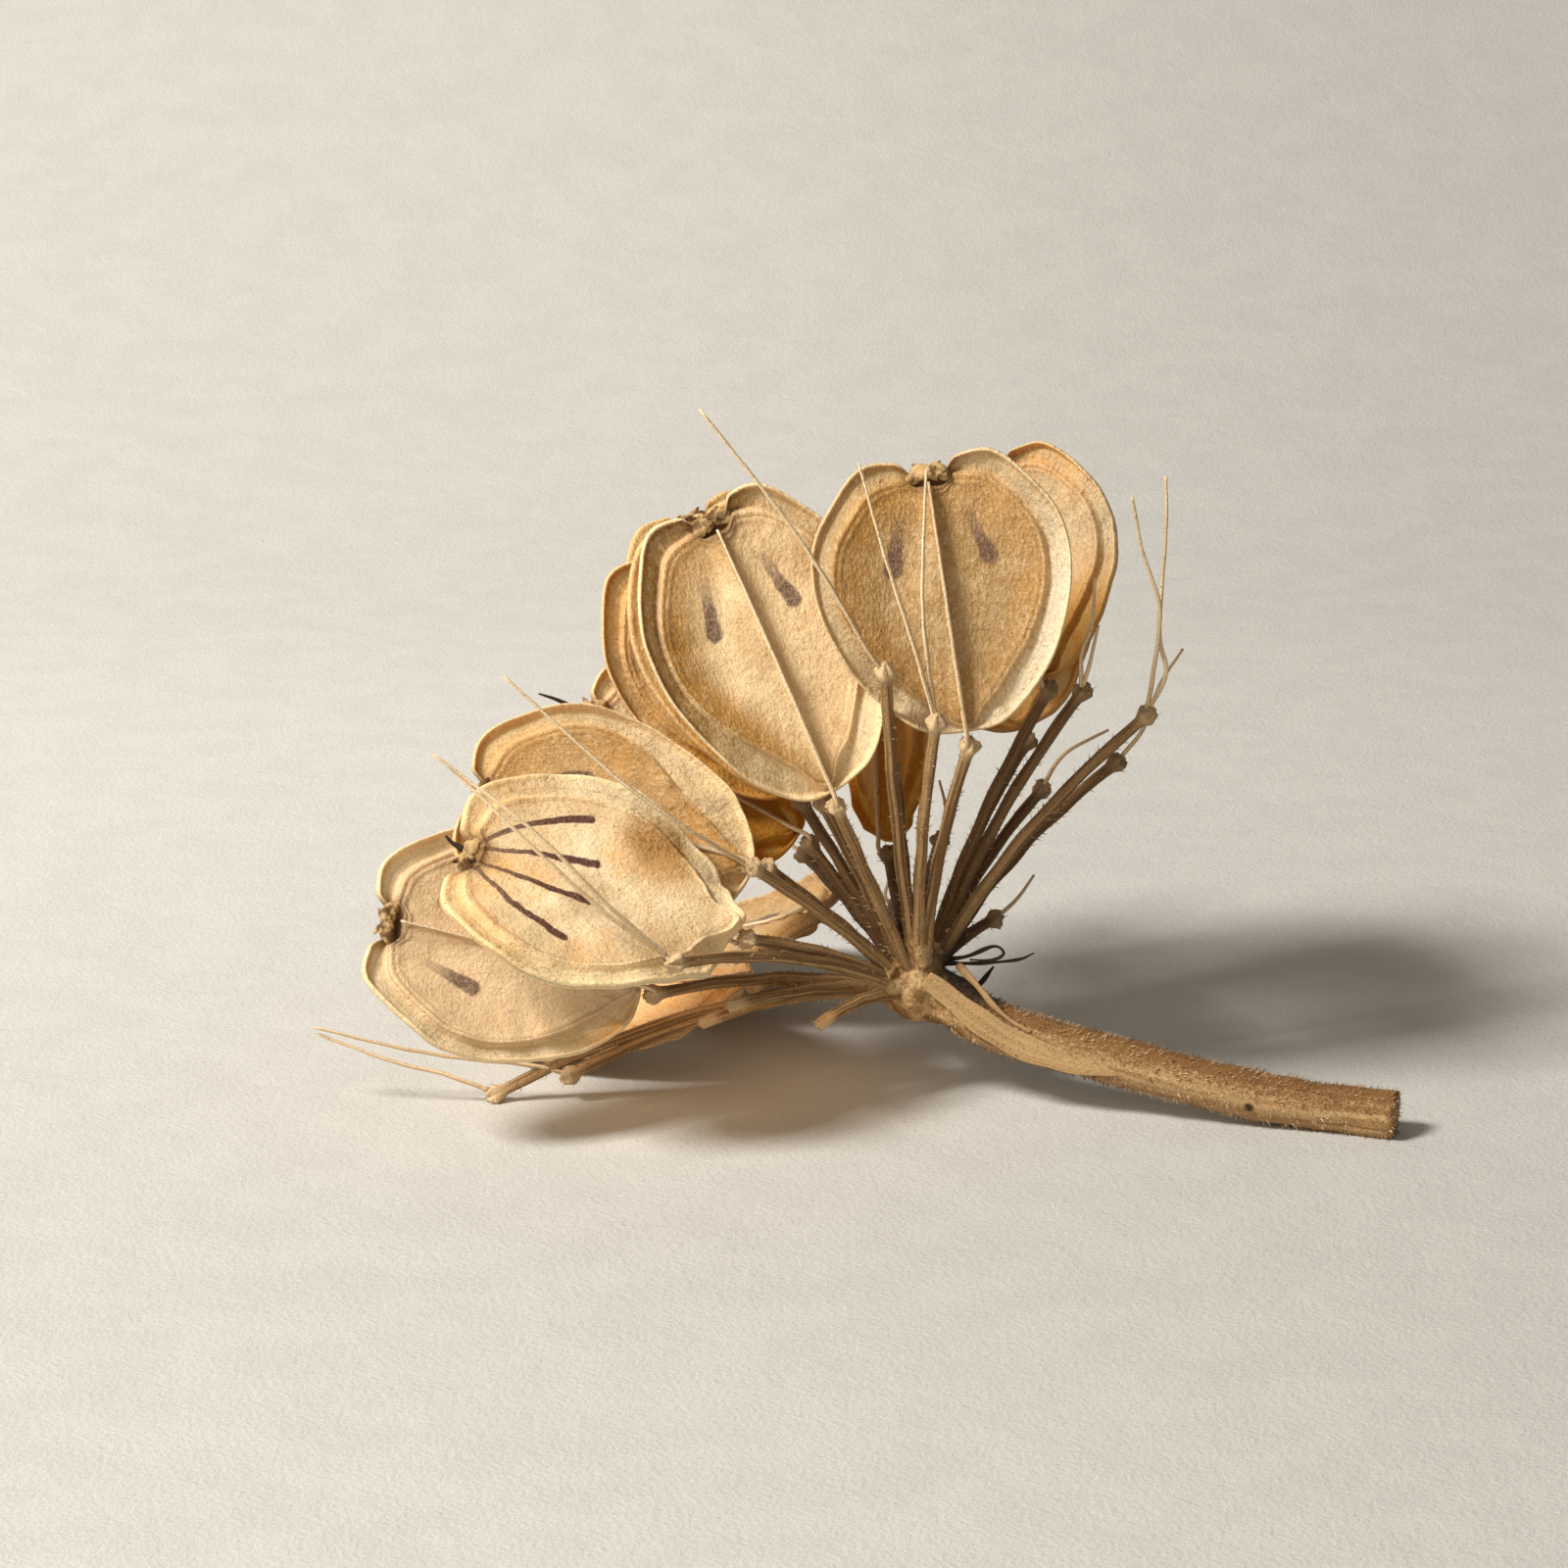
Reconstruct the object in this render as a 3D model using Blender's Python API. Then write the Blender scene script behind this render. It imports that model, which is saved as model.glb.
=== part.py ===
"""Dried hogweed seed head: a cut stem, a hub with spreading seed stalks, and ripe flat seeds.

The head lies on a table. +X runs along the stem towards its cut end, +Y runs into depth and +Z is
up. Values in the tables are millimetres; MM turns them into metres.
"""
import math
import random

import bmesh
import bpy
from mathutils import Matrix, Vector

MM = 0.001

# The tables give places as the head looks from the front and a little above: right of the hub, up
# the view from the table line, and back into depth. spot() turns them into the frame.
VIEW_TILT = math.radians(15)
VIEW_DISTANCE = 130.0
VIEW_CENTRE = (-4.2, 9.1)
HUB_FOOT = Vector((2.19, -3.02, 0.0))

STEM_RADIUS = 0.71
STEM_RIB_DEPTH = 0.06
STEM_RIBS = 9
STEM_ROUTE = ((-0.2, 3.2, 0.2), (0.9, 2.6, -0.1), (2.3, 1.85, -0.6), (5.4, 0.97, -1.7),
              (8.8, 0.1, -2.6), (11.4, -0.4, -3.1), (13.9, -0.72, -3.8))

HUB_CENTRE = (-0.3, 3.1, 0.2)
HUB_RADIUS = 0.95
HUB_LUMP = 0.12
HUB_ROOT_RING = 0.45
UMBEL_AXIS = Vector((-0.35, 0.15, 0.93)).normalized()

PEDICEL_RADIUS = 0.21
PEDICEL_ROOT_SWELL = 1.35
PEDICEL_LEAN = 0.35
PEDICEL_BEND = 0.45
PEDICEL_POINTS = 6
KNOB_RADIUS = 0.33
KNOB_STRETCH = 1.2
THREAD_RADIUS = 0.08
BRACTEOLE_RADIUS = 0.09

# Across a seed: share of the way from the middle to the outline, height of the inner face, of the
# back. The outline is fuller than an ellipse, wider towards the apex, and notched between two
# shoulders there; spreads and places of those are angles from the apex.
SEED_RINGS = ((0.0, 0.28, -0.36), (0.45, 0.28, -0.35), (0.78, 0.25, -0.31),
              (0.87, 0.38, -0.35), (0.97, 0.30, -0.30), (1.0, 0.0, 0.0))
SEED_COLUMNS = 24
SEED_FULLNESS = 0.85
SEED_TAPER = 0.22
SEED_WIDEST = 1.02
SEED_SHOULDER = 0.045
SHOULDER_AT = 0.42
SHOULDER_SPREAD = 0.26
SEED_NOTCH = 0.03
NOTCH_SPREAD = 0.14
WAVES = 5
CAP_AT = 0.985
CAP_RADIUS = 0.40
CAP_LENGTH = 0.75
SEAT_BACK = 0.42
SEAT_OUT = 0.15
THREAD_LIFT = 0.47
THREAD_SHARES = (-0.03, 0.06, 0.35, 0.65, 0.93)

# Base at the knob, apex, width, roll of the inner face from the viewer round the base-apex line,
# and how far the sides cup, the length bows and the rim waves towards the inner face
SEEDS = {
    "seed_middle_front": dict(base=(-2.8, 8.8, -2.5), apex=(-6.5, 17.2, -1.2), width=6.6,
                              roll=11, cup=0.3, bow=-0.2, wave=0.12),
    "seed_right_front": dict(base=(1.2, 10.6, -2.9), apex=(0.0, 18.6, -1.3), width=7.3,
                             roll=-4, cup=0.5, bow=-0.2, wave=0.10),
    "seed_right_far": dict(base=(3.7, 12.2, 1.2), apex=(2.1, 18.6, 4.4), width=6.0,
                           roll=-25, cup=-0.3, bow=0.3, wave=0.10),
    "seed_middle_inner": dict(base=(-3.2, 8.9, -0.9), apex=(-7.0, 16.8, 0.4), width=6.1,
                              roll=190, cup=0.2, bow=0.0, wave=0.10),
    "seed_middle_outer": dict(base=(-3.9, 8.9, 1.5), apex=(-7.9, 16.0, 3.2), width=6.3,
                              roll=8, cup=0.2, bow=0.0, wave=0.12),
    "seed_left_top": dict(base=(-3.9, 7.3, 2.0), apex=(-10.2, 11.2, 2.8), width=6.4,
                          roll=40, cup=0.2, bow=0.2, wave=0.10),
    "seed_left_upper": dict(base=(-5.1, 6.7, -1.7), apex=(-13.5, 8.8, -2.0), width=6.9,
                            roll=22, cup=0.2, bow=-0.2, wave=0.12),
    "seed_left_ribbed": dict(base=(-5.6, 4.8, -4.3), apex=(-13.8, 7.2, -4.7), width=6.8,
                             roll=214, cup=-0.3, bow=0.2, wave=0.20),
    "seed_left_lower": dict(base=(-8.4, 3.0, -2.1), apex=(-16.2, 5.1, -4.1), width=6.9,
                            roll=25, cup=0.3, bow=-0.2, wave=0.10),
    "seed_low_flat": dict(base=(-5.3, 2.9, 1.5), apex=(-12.0, 2.9, 5.5), width=6.4,
                          roll=58, cup=-0.2, bow=0.2, wave=0.10),
    "seed_core": dict(base=(-1.0, 7.4, 3.6), apex=(-1.2, 14.4, 5.4), width=5.8,
                      roll=-62, cup=0.2, bow=0.0, wave=0.10),
    "seed_back_low": dict(base=(-3.2, 4.9, 5.2), apex=(-6.6, 4.25, 12.4), width=6.8,
                          roll=72, cup=0.2, bow=0.2, wave=0.10),
    "seed_back_middle": dict(base=(-4.0, 11.3, 6.2), apex=(-7.0, 17.2, 8.8), width=6.6,
                             roll=200, cup=-0.2, bow=0.2, wave=0.12),
    "seed_back_right": dict(base=(2.8, 10.8, 5.4), apex=(1.2, 17.3, 9.0), width=6.9,
                            roll=165, cup=-0.2, bow=0.2, wave=0.10),
}

# Pedicels whose seeds have dropped: the tip, then the routes of the bare threads left on it
BARE_PEDICELS = (
    ((-1.2, 12.4, -3.6), (((-1.7, 13.0, -3.8), (-2.8, 14.9, -4.0), (-4.2, 17.0, -4.1),
                           (-6.7, 20.2, -4.0)),)),
    ((0.3, 10.9, -4.1), (((-0.3, 13.0, -4.3), (-1.2, 15.8, -4.1), (-2.0, 18.6, -3.6)),
                         ((0.0, 13.2, -4.2), (-0.1, 14.9, -4.0), (0.0, 18.4, -3.1)))),
    ((4.6, 11.8, 0.6), (((4.6, 12.9, 0.3), (4.9, 13.8, 0.3), (5.0, 15.2, 0.3)),
                        ((4.9, 12.9, 0.3), (5.1, 13.8, 0.4)))),
    ((6.5, 11.1, -1.0), (((6.8, 12.9, -1.0), (6.9, 14.4, -1.1), (6.4, 16.0, -1.2),
                          (6.1, 17.6, -1.3)),
                         ((7.1, 12.4, -0.9), (6.9, 13.6, -0.8), (7.1, 16.6, -0.7),
                          (7.1, 18.2, -0.6)))),
    ((5.6, 9.7, 4.2), (((6.4, 10.7, 4.4), (6.9, 12.0, 4.6), (7.6, 13.1, 4.9)),)),
    ((3.4, 8.9, 4.8), (((4.0, 9.9, 5.0), (4.8, 10.4, 5.2), (5.4, 10.7, 5.4)),)),
    ((2.0, 5.1, 3.0), (((2.6, 5.6, 3.6), (3.2, 6.4, 4.1)),)),
    ((-5.1, 6.6, -2.9), (((-7.1, 7.8, -3.9), (-8.8, 9.0, -4.1), (-10.3, 10.3, -3.9),
                          (-12.5, 12.3, -3.4)),)),
    ((-7.4, 3.8, -6.8), (((-9.4, 5.5, -7.2), (-11.6, 7.7, -6.9), (-14.6, 10.0, -6.0)),
                         ((-9.5, 5.3, -7.1), (-11.8, 7.4, -6.8), (-14.3, 9.8, -6.0)))),
    ((-5.6, 2.6, -1.9), ()),
    ((-6.4, 2.1, -1.2), ()),
    ((-10.5, 0.5, -0.8), (((-11.8, 0.8, -0.8), (-13.8, 1.0, -0.8), (-15.6, 1.3, -0.8),
                           (-18.1, 1.9, -1.0)),)),
    ((-12.7, -0.06, -0.9), (((-14.2, 0.5, -1.0), (-15.8, 0.9, -1.0), (-18.0, 1.7, -0.9)),)),
    ((-3.0, 2.1, -1.6), ()),
    ((-0.9, 9.4, 0.9), ()),
    ((0.4, 7.4, 6.2), (((0.6, 8.2, 6.8), (0.4, 9.2, 7.6)),)),
    ((-3.6, 7.0, 6.6), (((-4.3, 7.6, 7.5), (-4.5, 8.4, 8.4)),)),
    ((-0.9, 5.4, 7.0), (((-1.2, 5.8, 8.0), (-1.0, 6.6, 9.0)),)),
)

# Dark dried bracteoles that curl from the hub, and the dried strap that lies along the stem
BRACTEOLES = (
    ((0.4, 3.9, 0.6), (1.2, 4.0, 0.8), (2.0, 4.3, 0.9), (2.3, 4.1, 0.9), (2.0, 3.9, 0.8),
     (1.3, 3.9, 0.7)),
    ((0.4, 3.8, 0.9), (1.6, 3.8, 1.2), (2.7, 3.9, 1.5), (3.2, 4.1, 1.6)),
    ((0.9, 2.8, 0.2), (1.5, 3.1, 0.9), (2.0, 3.7, 1.4)),
)
STRAP_ROUTE = ((0.1, 3.5, -0.5), (0.9, 2.9, -0.75), (1.6, 2.2, -1.05), (2.6, 1.4, -1.35),
               (3.8, 1.0, -1.8), (5.0, 0.8, -2.2))
STRAP_WIDTH = 0.55
STRAP_THICKNESS = 0.24

SEED_COLOUR = (0.72, 0.52, 0.28, 1)
STALK_COLOUR = (0.40, 0.27, 0.13, 1)


def spot(right, up, back):
    """The place in the frame, in mm, of what the front view shows right, up and back."""
    ahead = Vector((0, math.cos(VIEW_TILT), -math.sin(VIEW_TILT)))
    above = Vector((0, math.sin(VIEW_TILT), math.cos(VIEW_TILT)))
    eye = Vector((VIEW_CENTRE[0], 0, 0)) + above * VIEW_CENTRE[1] - ahead * VIEW_DISTANCE
    ray = Vector((right, 0, 0)) + above * up - eye
    return eye + ray * ((back - eye.y) / ray.y) + HUB_FOOT


def principled(name, colour, roughness):
    """A plain material of one colour."""
    material = bpy.data.materials.new(name)
    material.use_nodes = True
    shader = material.node_tree.nodes["Principled BSDF"]
    shader.inputs["Base Color"].default_value = colour
    shader.inputs["Roughness"].default_value = roughness
    return material


def placed(name, bm):
    """The bmesh, in mm, as an object in metres."""
    bmesh.ops.scale(bm, vec=(MM, MM, MM), verts=bm.verts)
    mesh = bpy.data.meshes.new(name)
    bm.to_mesh(mesh)
    bm.free()
    obj = bpy.data.objects.new(name, mesh)
    bpy.context.scene.collection.objects.link(obj)
    return obj


def tube(points, radius, swell=None, resolution=0, profile=None, flat=None):
    """A round, ribbed or strap-shaped rod through the points, as a closed mesh."""
    curve = bpy.data.curves.new("rod", "CURVE")
    curve.dimensions = "3D"
    curve.use_fill_caps = True
    curve.bevel_resolution = resolution
    if profile:
        curve.bevel_mode = "OBJECT"
        curve.bevel_object = profile
    elif flat:
        curve.extrude = flat / 2 * MM
        curve.bevel_depth = radius * MM
    else:
        curve.bevel_depth = radius * MM
    spline = curve.splines.new("POLY")
    spline.points.add(len(points) - 1)
    for i, (point, place) in enumerate(zip(spline.points, points)):
        point.co = (*(place * MM), 1)
        point.radius = swell(i / (len(points) - 1)) if swell else 1.0
    rod = bpy.data.objects.new("rod", curve)
    bpy.context.scene.collection.objects.link(rod)
    graph = bpy.context.evaluated_depsgraph_get()
    mesh = bpy.data.meshes.new_from_object(rod.evaluated_get(graph))
    bm = bmesh.new()
    bm.from_mesh(mesh)
    bmesh.ops.remove_doubles(bm, verts=bm.verts, dist=1e-6)
    bmesh.ops.recalc_face_normals(bm, faces=bm.faces)
    if bm.calc_volume(signed=True) < 0:
        bmesh.ops.reverse_faces(bm, faces=bm.faces)
    bm.to_mesh(mesh)
    bm.free()
    solid = bpy.data.objects.new("rod_solid", mesh)
    solid.matrix_world = rod.matrix_world
    bpy.context.scene.collection.objects.link(solid)
    bpy.data.objects.remove(rod)
    return solid


def fuse(name, pieces, material):
    """One object of all the pieces, joined by a Boolean union on their collection."""
    body, others = pieces[0], pieces[1:]
    repeats = bpy.data.collections.new(name + "_pieces")
    bpy.context.scene.collection.children.link(repeats)
    for piece in others:
        repeats.objects.link(piece)
    union = body.modifiers.new("union", "BOOLEAN")
    union.operation = "UNION"
    union.operand_type = "COLLECTION"
    union.collection = repeats
    union.solver = "MANIFOLD"
    graph = bpy.context.evaluated_depsgraph_get()
    mesh = bpy.data.meshes.new_from_object(body.evaluated_get(graph))
    mesh.name = name
    mesh.materials.clear()
    mesh.materials.append(material)
    for piece in pieces:
        bpy.data.objects.remove(piece)
    bpy.data.collections.remove(repeats)
    fused = bpy.data.objects.new(name, mesh)
    head.objects.link(fused)
    return fused


def smooth_route(points, steps):
    """Points of a smooth curve through the given ones (Catmull-Rom)."""
    ends = [points[0] * 2 - points[1], *points, points[-1] * 2 - points[-2]]
    route = []
    for a, b, c, d in zip(ends, ends[1:], ends[2:], ends[3:]):
        for k in range(steps):
            t = k / steps
            route.append(0.5 * (2 * b + (c - a) * t + (2 * a - 5 * b + 4 * c - d) * t ** 2
                                + (3 * b - a - 3 * c + d) * t ** 3))
    return route + [points[-1]]


class SeedForm:
    """A seed's own axes and its curved sheet, from its row in the table."""

    def __init__(self, row, number):
        self.base = spot(*row["base"])
        run = spot(*row["apex"]) - self.base
        self.length = run.length
        self.along = run.normalized()
        toward = Vector((0, -math.cos(VIEW_TILT), math.sin(VIEW_TILT)))
        toward = (toward - self.along * toward.dot(self.along)).normalized()
        self.out = Matrix.Rotation(math.radians(row["roll"]), 3, self.along) @ toward
        self.side = self.along.cross(self.out)
        self.half_width = row["width"] / 2
        self.cup, self.bow, self.wave = row["cup"], row["bow"], row["wave"]
        self.phase = 1.7 * number

    def outline(self, angle):
        """Share of the length, and share of the half width, at an angle that is 0 at the base."""
        to_apex = math.pi - abs(angle)
        along = (1 - math.cos(angle)) / 2
        along += SEED_SHOULDER * math.exp(-(((to_apex - SHOULDER_AT) / SHOULDER_SPREAD) ** 2))
        along -= SEED_NOTCH * math.exp(-((to_apex / NOTCH_SPREAD) ** 2))
        across = abs(math.sin(angle)) ** SEED_FULLNESS * (1 - SEED_TAPER * math.cos(angle))
        return along, math.copysign(across / SEED_WIDEST, math.sin(angle))

    def place(self, along, across, height):
        """A point of the curved sheet, lifted by a height in mm."""
        height += self.cup * across ** 2 + self.bow * (2 * along - 1) ** 2
        return (self.base + self.along * (along * self.length)
                + self.side * (across * self.half_width) + self.out * height)

    def surface(self, angle, share, height):
        """A point a share of the way from the seed's middle to its outline."""
        along, across = self.outline(angle)
        height += self.wave * share ** 4 * math.sin(WAVES * angle + self.phase)
        return self.place(0.5 + (along - 0.5) * share, across * share, height)

    def seat(self):
        """Where the pedicel's knob sits, just off the base."""
        return self.base - self.along * SEAT_BACK + self.out * (SEAT_OUT + self.bow)

    def thread(self):
        """The thread that runs from the knob up the inner face to the apex."""
        return [self.seat()] + [self.place(share, 0, THREAD_LIFT) for share in THREAD_SHARES]


def make_seed(name, form):
    """A flat winged seed with a raised line inside its rim, and the cap at its apex."""
    bm = bmesh.new()
    rows = 2 * (len(SEED_RINGS) - 1)
    bmesh.ops.create_uvsphere(bm, u_segments=SEED_COLUMNS, v_segments=rows, radius=1)
    for vert in bm.verts:
        row = round(math.acos(max(-1, min(1, vert.co.z))) / math.pi * rows)
        share, face, back = SEED_RINGS[min(row, rows - row)]
        angle = math.atan2(vert.co.y, vert.co.x)
        vert.co = form.surface(angle, share, face if row < rows / 2 else back)
    if bm.calc_volume(signed=True) < 0:
        bmesh.ops.reverse_faces(bm, faces=bm.faces)
    body = placed("body", bm)
    bm = bmesh.new()
    bmesh.ops.create_cone(bm, cap_ends=True, segments=7, radius1=CAP_RADIUS,
                          radius2=CAP_RADIUS * 0.4, depth=CAP_LENGTH)
    turn = form.along.to_track_quat("Z", "Y").to_matrix().to_4x4()
    at = form.place(CAP_AT, 0, 0)
    bmesh.ops.transform(bm, matrix=Matrix.Translation(at) @ turn, verts=bm.verts)
    return fuse(name, [body, placed("cap", bm)], seed_material)


def knob(at, heading, radius, rng):
    """The swollen tip of a pedicel."""
    bm = bmesh.new()
    bmesh.ops.create_uvsphere(bm, u_segments=6, v_segments=4, radius=radius)
    turn = heading.to_track_quat("Z", "Y").to_matrix().to_4x4()
    spin = Matrix.Rotation(rng.uniform(0, math.pi), 4, "Z")
    stretch = Matrix.Diagonal((1, 1, KNOB_STRETCH, 1))
    bmesh.ops.transform(bm, matrix=Matrix.Translation(at) @ turn @ spin @ stretch,
                        verts=bm.verts)
    return placed("knob", bm)


def pedicel_route(tip):
    """The stalk leaves the hub near the umbel's axis and bends outwards to its tip."""
    hub = spot(*HUB_CENTRE)
    out = (tip - hub).normalized()
    root = hub + (out - UMBEL_AXIS * out.dot(UMBEL_AXIS)) * HUB_ROOT_RING
    reach = (tip - root).length
    bend = root + (out + UMBEL_AXIS * PEDICEL_LEAN).normalized() * reach * PEDICEL_BEND
    shares = [k / (PEDICEL_POINTS - 1) for k in range(PEDICEL_POINTS)]
    return [root * (1 - t) ** 2 + bend * 2 * t * (1 - t) + tip * t * t for t in shares]


def pedicel_swell(share):
    """Thick at the root, slim in the middle, a little thicker below the knob."""
    return 1 + (PEDICEL_ROOT_SWELL - 1) * (1 - share) ** 3 + 0.1 * share ** 4


def pedicel_pieces(tip, threads, rng):
    """The stalk, its knob and its threads, as separate solids to fuse."""
    route = pedicel_route(tip)
    heading = (route[-1] - route[-2]).normalized()
    pieces = [tube(route, PEDICEL_RADIUS, pedicel_swell, resolution=1),
              knob(tip, heading, KNOB_RADIUS, rng)]
    for thread in threads:
        pieces.append(tube(thread, THREAD_RADIUS))
    return pieces


def make_hub():
    """The lumpy swelling that all pedicels grow from."""
    bm = bmesh.new()
    bmesh.ops.create_uvsphere(bm, u_segments=14, v_segments=9, radius=HUB_RADIUS)
    centre = spot(*HUB_CENTRE)
    for vert in bm.verts:
        x, y, z = vert.co / HUB_RADIUS
        lump = math.sin(5 * x + 1) * math.sin(6 * y + 2) + math.sin(7 * z + 3 * x)
        vert.co *= 1 + HUB_LUMP * lump
        vert.co = centre + vert.co
    return placed("hub", bm)


def make_stem():
    """The ribbed stem, from the hub to its plain cut end."""
    ring = bpy.data.curves.new("rib_ring", "CURVE")
    ring.dimensions = "2D"
    outline = ring.splines.new("POLY")
    corners = 2 * STEM_RIBS
    outline.points.add(corners - 1)
    for i, point in enumerate(outline.points):
        radius = (STEM_RADIUS - (i % 2) * STEM_RIB_DEPTH) * MM
        angle = math.tau * i / corners
        point.co = (radius * math.cos(angle), radius * math.sin(angle), 0, 1)
    outline.use_cyclic_u = True
    guide = bpy.data.objects.new("rib_ring", ring)
    route = smooth_route([spot(*place) for place in STEM_ROUTE], 2)
    stem = tube(route, STEM_RADIUS, profile=guide)
    bpy.data.objects.remove(guide)
    return stem


def make_stalk(forms):
    """Stem, hub, pedicels, threads and bracteoles, grown as one piece."""
    rng = random.Random(11)
    pieces = [make_stem(), make_hub()]
    for form in forms:
        pieces += pedicel_pieces(form.seat(), [form.thread()], rng)
    for tip, threads in BARE_PEDICELS:
        tip = spot(*tip)
        routes = [smooth_route([tip, *(spot(*place) for place in thread)], 2)
                  for thread in threads]
        pieces += pedicel_pieces(tip, routes, rng)
    for route in BRACTEOLES:
        pieces.append(tube(smooth_route([spot(*place) for place in route], 2),
                           BRACTEOLE_RADIUS))
    strap = smooth_route([spot(*place) for place in STRAP_ROUTE], 2)
    pieces.append(tube(strap, STRAP_THICKNESS / 2, flat=STRAP_WIDTH - STRAP_THICKNESS))
    return fuse("stalk", pieces, stalk_material)


def rest_flat(obj, table):
    """Shaves off what the table would press flat."""
    shave = obj.modifiers.new("table", "BOOLEAN")
    shave.operation = "DIFFERENCE"
    shave.object = table
    shave.solver = "MANIFOLD"


for old in list(bpy.data.objects):
    bpy.data.objects.remove(old)
head = bpy.data.collections.new("dried_hogweed_seed_head")
cutters = bpy.data.collections.new("cutters")
bpy.context.scene.collection.children.link(head)
bpy.context.scene.collection.children.link(cutters)
seed_material = principled("dry_seed", SEED_COLOUR, 0.6)
stalk_material = principled("dry_stalk", STALK_COLOUR, 0.75)

bpy.ops.mesh.primitive_cube_add(size=1, location=(0, 0, -5 * MM))
table = bpy.context.object
table.name = "table_cutter"
table.scale = (80 * MM, 80 * MM, 10 * MM)
table.hide_render = True
table.display_type = "WIRE"
table.users_collection[0].objects.unlink(table)
cutters.objects.link(table)

seed_forms = {name: SeedForm(row, i) for i, (name, row) in enumerate(SEEDS.items())}
nodes = [make_seed(name, form) for name, form in seed_forms.items()]
nodes.append(make_stalk(seed_forms.values()))
for node in nodes:
    if min(vert.co.z for vert in node.data.vertices) < 0:
        rest_flat(node, table)
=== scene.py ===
"""Dried hogweed seed head: a cut stem, a hub of fine stalks and ripe winged seeds, on cream paper.

+X runs along the stem towards its cut end, +Y into depth and +Z up. Values in the tables are
millimetres; MM turns them into metres.
"""
import math
import random

import bpy
import numpy as np
from mathutils import Matrix, Vector, noise


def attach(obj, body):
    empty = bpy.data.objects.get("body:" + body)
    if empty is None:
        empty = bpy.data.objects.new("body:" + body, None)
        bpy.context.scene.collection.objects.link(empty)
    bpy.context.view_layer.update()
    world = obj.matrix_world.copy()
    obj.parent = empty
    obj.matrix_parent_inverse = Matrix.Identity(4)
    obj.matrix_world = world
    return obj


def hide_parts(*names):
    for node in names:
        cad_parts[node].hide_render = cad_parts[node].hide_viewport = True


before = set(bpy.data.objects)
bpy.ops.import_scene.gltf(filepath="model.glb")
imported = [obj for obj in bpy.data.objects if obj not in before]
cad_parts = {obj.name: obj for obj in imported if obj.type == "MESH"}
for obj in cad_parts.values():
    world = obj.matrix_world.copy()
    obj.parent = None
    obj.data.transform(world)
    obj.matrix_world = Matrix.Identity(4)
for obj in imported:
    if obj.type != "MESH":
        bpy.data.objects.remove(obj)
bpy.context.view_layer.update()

# The camera looks at the head from the front, 15 degrees above the table and 130 mm away.
# The tables of the later sections give places as it sees them: right of the hub's foot, up the
# view, and back into depth.
MM = 0.001
VIEW_TILT = math.radians(15)
VIEW_DISTANCE = 130.0
VIEW_CENTRE = (-4.2, 9.1)
VIEW_WIDTH = 46.38
HUB_FOOT = Vector((2.19, -3.02, 0.0))
ahead = Vector((0, math.cos(VIEW_TILT), -math.sin(VIEW_TILT)))
above = Vector((0, math.sin(VIEW_TILT), math.cos(VIEW_TILT)))
eye = Vector((VIEW_CENTRE[0], 0, 0)) + above * VIEW_CENTRE[1] - ahead * VIEW_DISTANCE


def add_object(name, data):
    """A new object in the scene, at the origin."""
    thing = bpy.data.objects.new(name, data)
    bpy.context.scene.collection.objects.link(thing)
    return thing


lens_data = bpy.data.cameras.new("camera")
lens_data.sensor_width = 36.0
lens_data.lens = lens_data.sensor_width * VIEW_DISTANCE / VIEW_WIDTH
lens_data.clip_start = 0.01
camera = add_object("camera", lens_data)
camera.location = (eye + HUB_FOOT) * MM
camera.rotation_euler = (math.pi / 2 - VIEW_TILT, 0, 0)
bpy.context.scene.camera = camera


def spot(right, up, back):
    """The place in the frame, in mm, of what the camera sees right, up and back."""
    ray = Vector((right, 0, 0)) + above * up - eye
    return eye + ray * ((back - eye.y) / ray.y) + HUB_FOOT


# The stem is the hollow, ribbed ray that carried the head, cut across at its far end. It is dry
# and woody, darker along its upper side, with thin pale ribs.
STEM_RADIUS = 0.71
STEM_RIBS = 9
STEM_RIB_DEPTH = 0.03
STEM_SIDES = 108
STEM_ROUTE = ((-0.2, 3.2, 0.2), (0.9, 2.6, -0.1), (2.3, 1.85, -0.6), (5.4, 0.97, -1.7),
              (8.8, 0.1, -2.6), (11.4, -0.4, -3.1), (13.9, -0.72, -3.8))
STEM_SCAR = (9.55, -0.45, -3.38)
SKEW = (0.31, 0.17, 0.93)


def smooth_route(points, steps):
    """Points of a smooth curve through the given ones (Catmull-Rom)."""
    ends = [points[0] * 2 - points[1], *points, points[-1] * 2 - points[-2]]
    route = []
    for a, b, c, d in zip(ends, ends[1:], ends[2:], ends[3:]):
        for k in range(steps):
            t = k / steps
            route.append(0.5 * (2 * b + (c - a) * t + (2 * a - 5 * b + 4 * c - d) * t ** 2
                                + (3 * b - a - 3 * c + d) * t ** 3))
    return route + [points[-1]]


def seen_route(places, steps):
    """A smooth route through places of the view."""
    return smooth_route([spot(*place) for place in places], steps)


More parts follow.
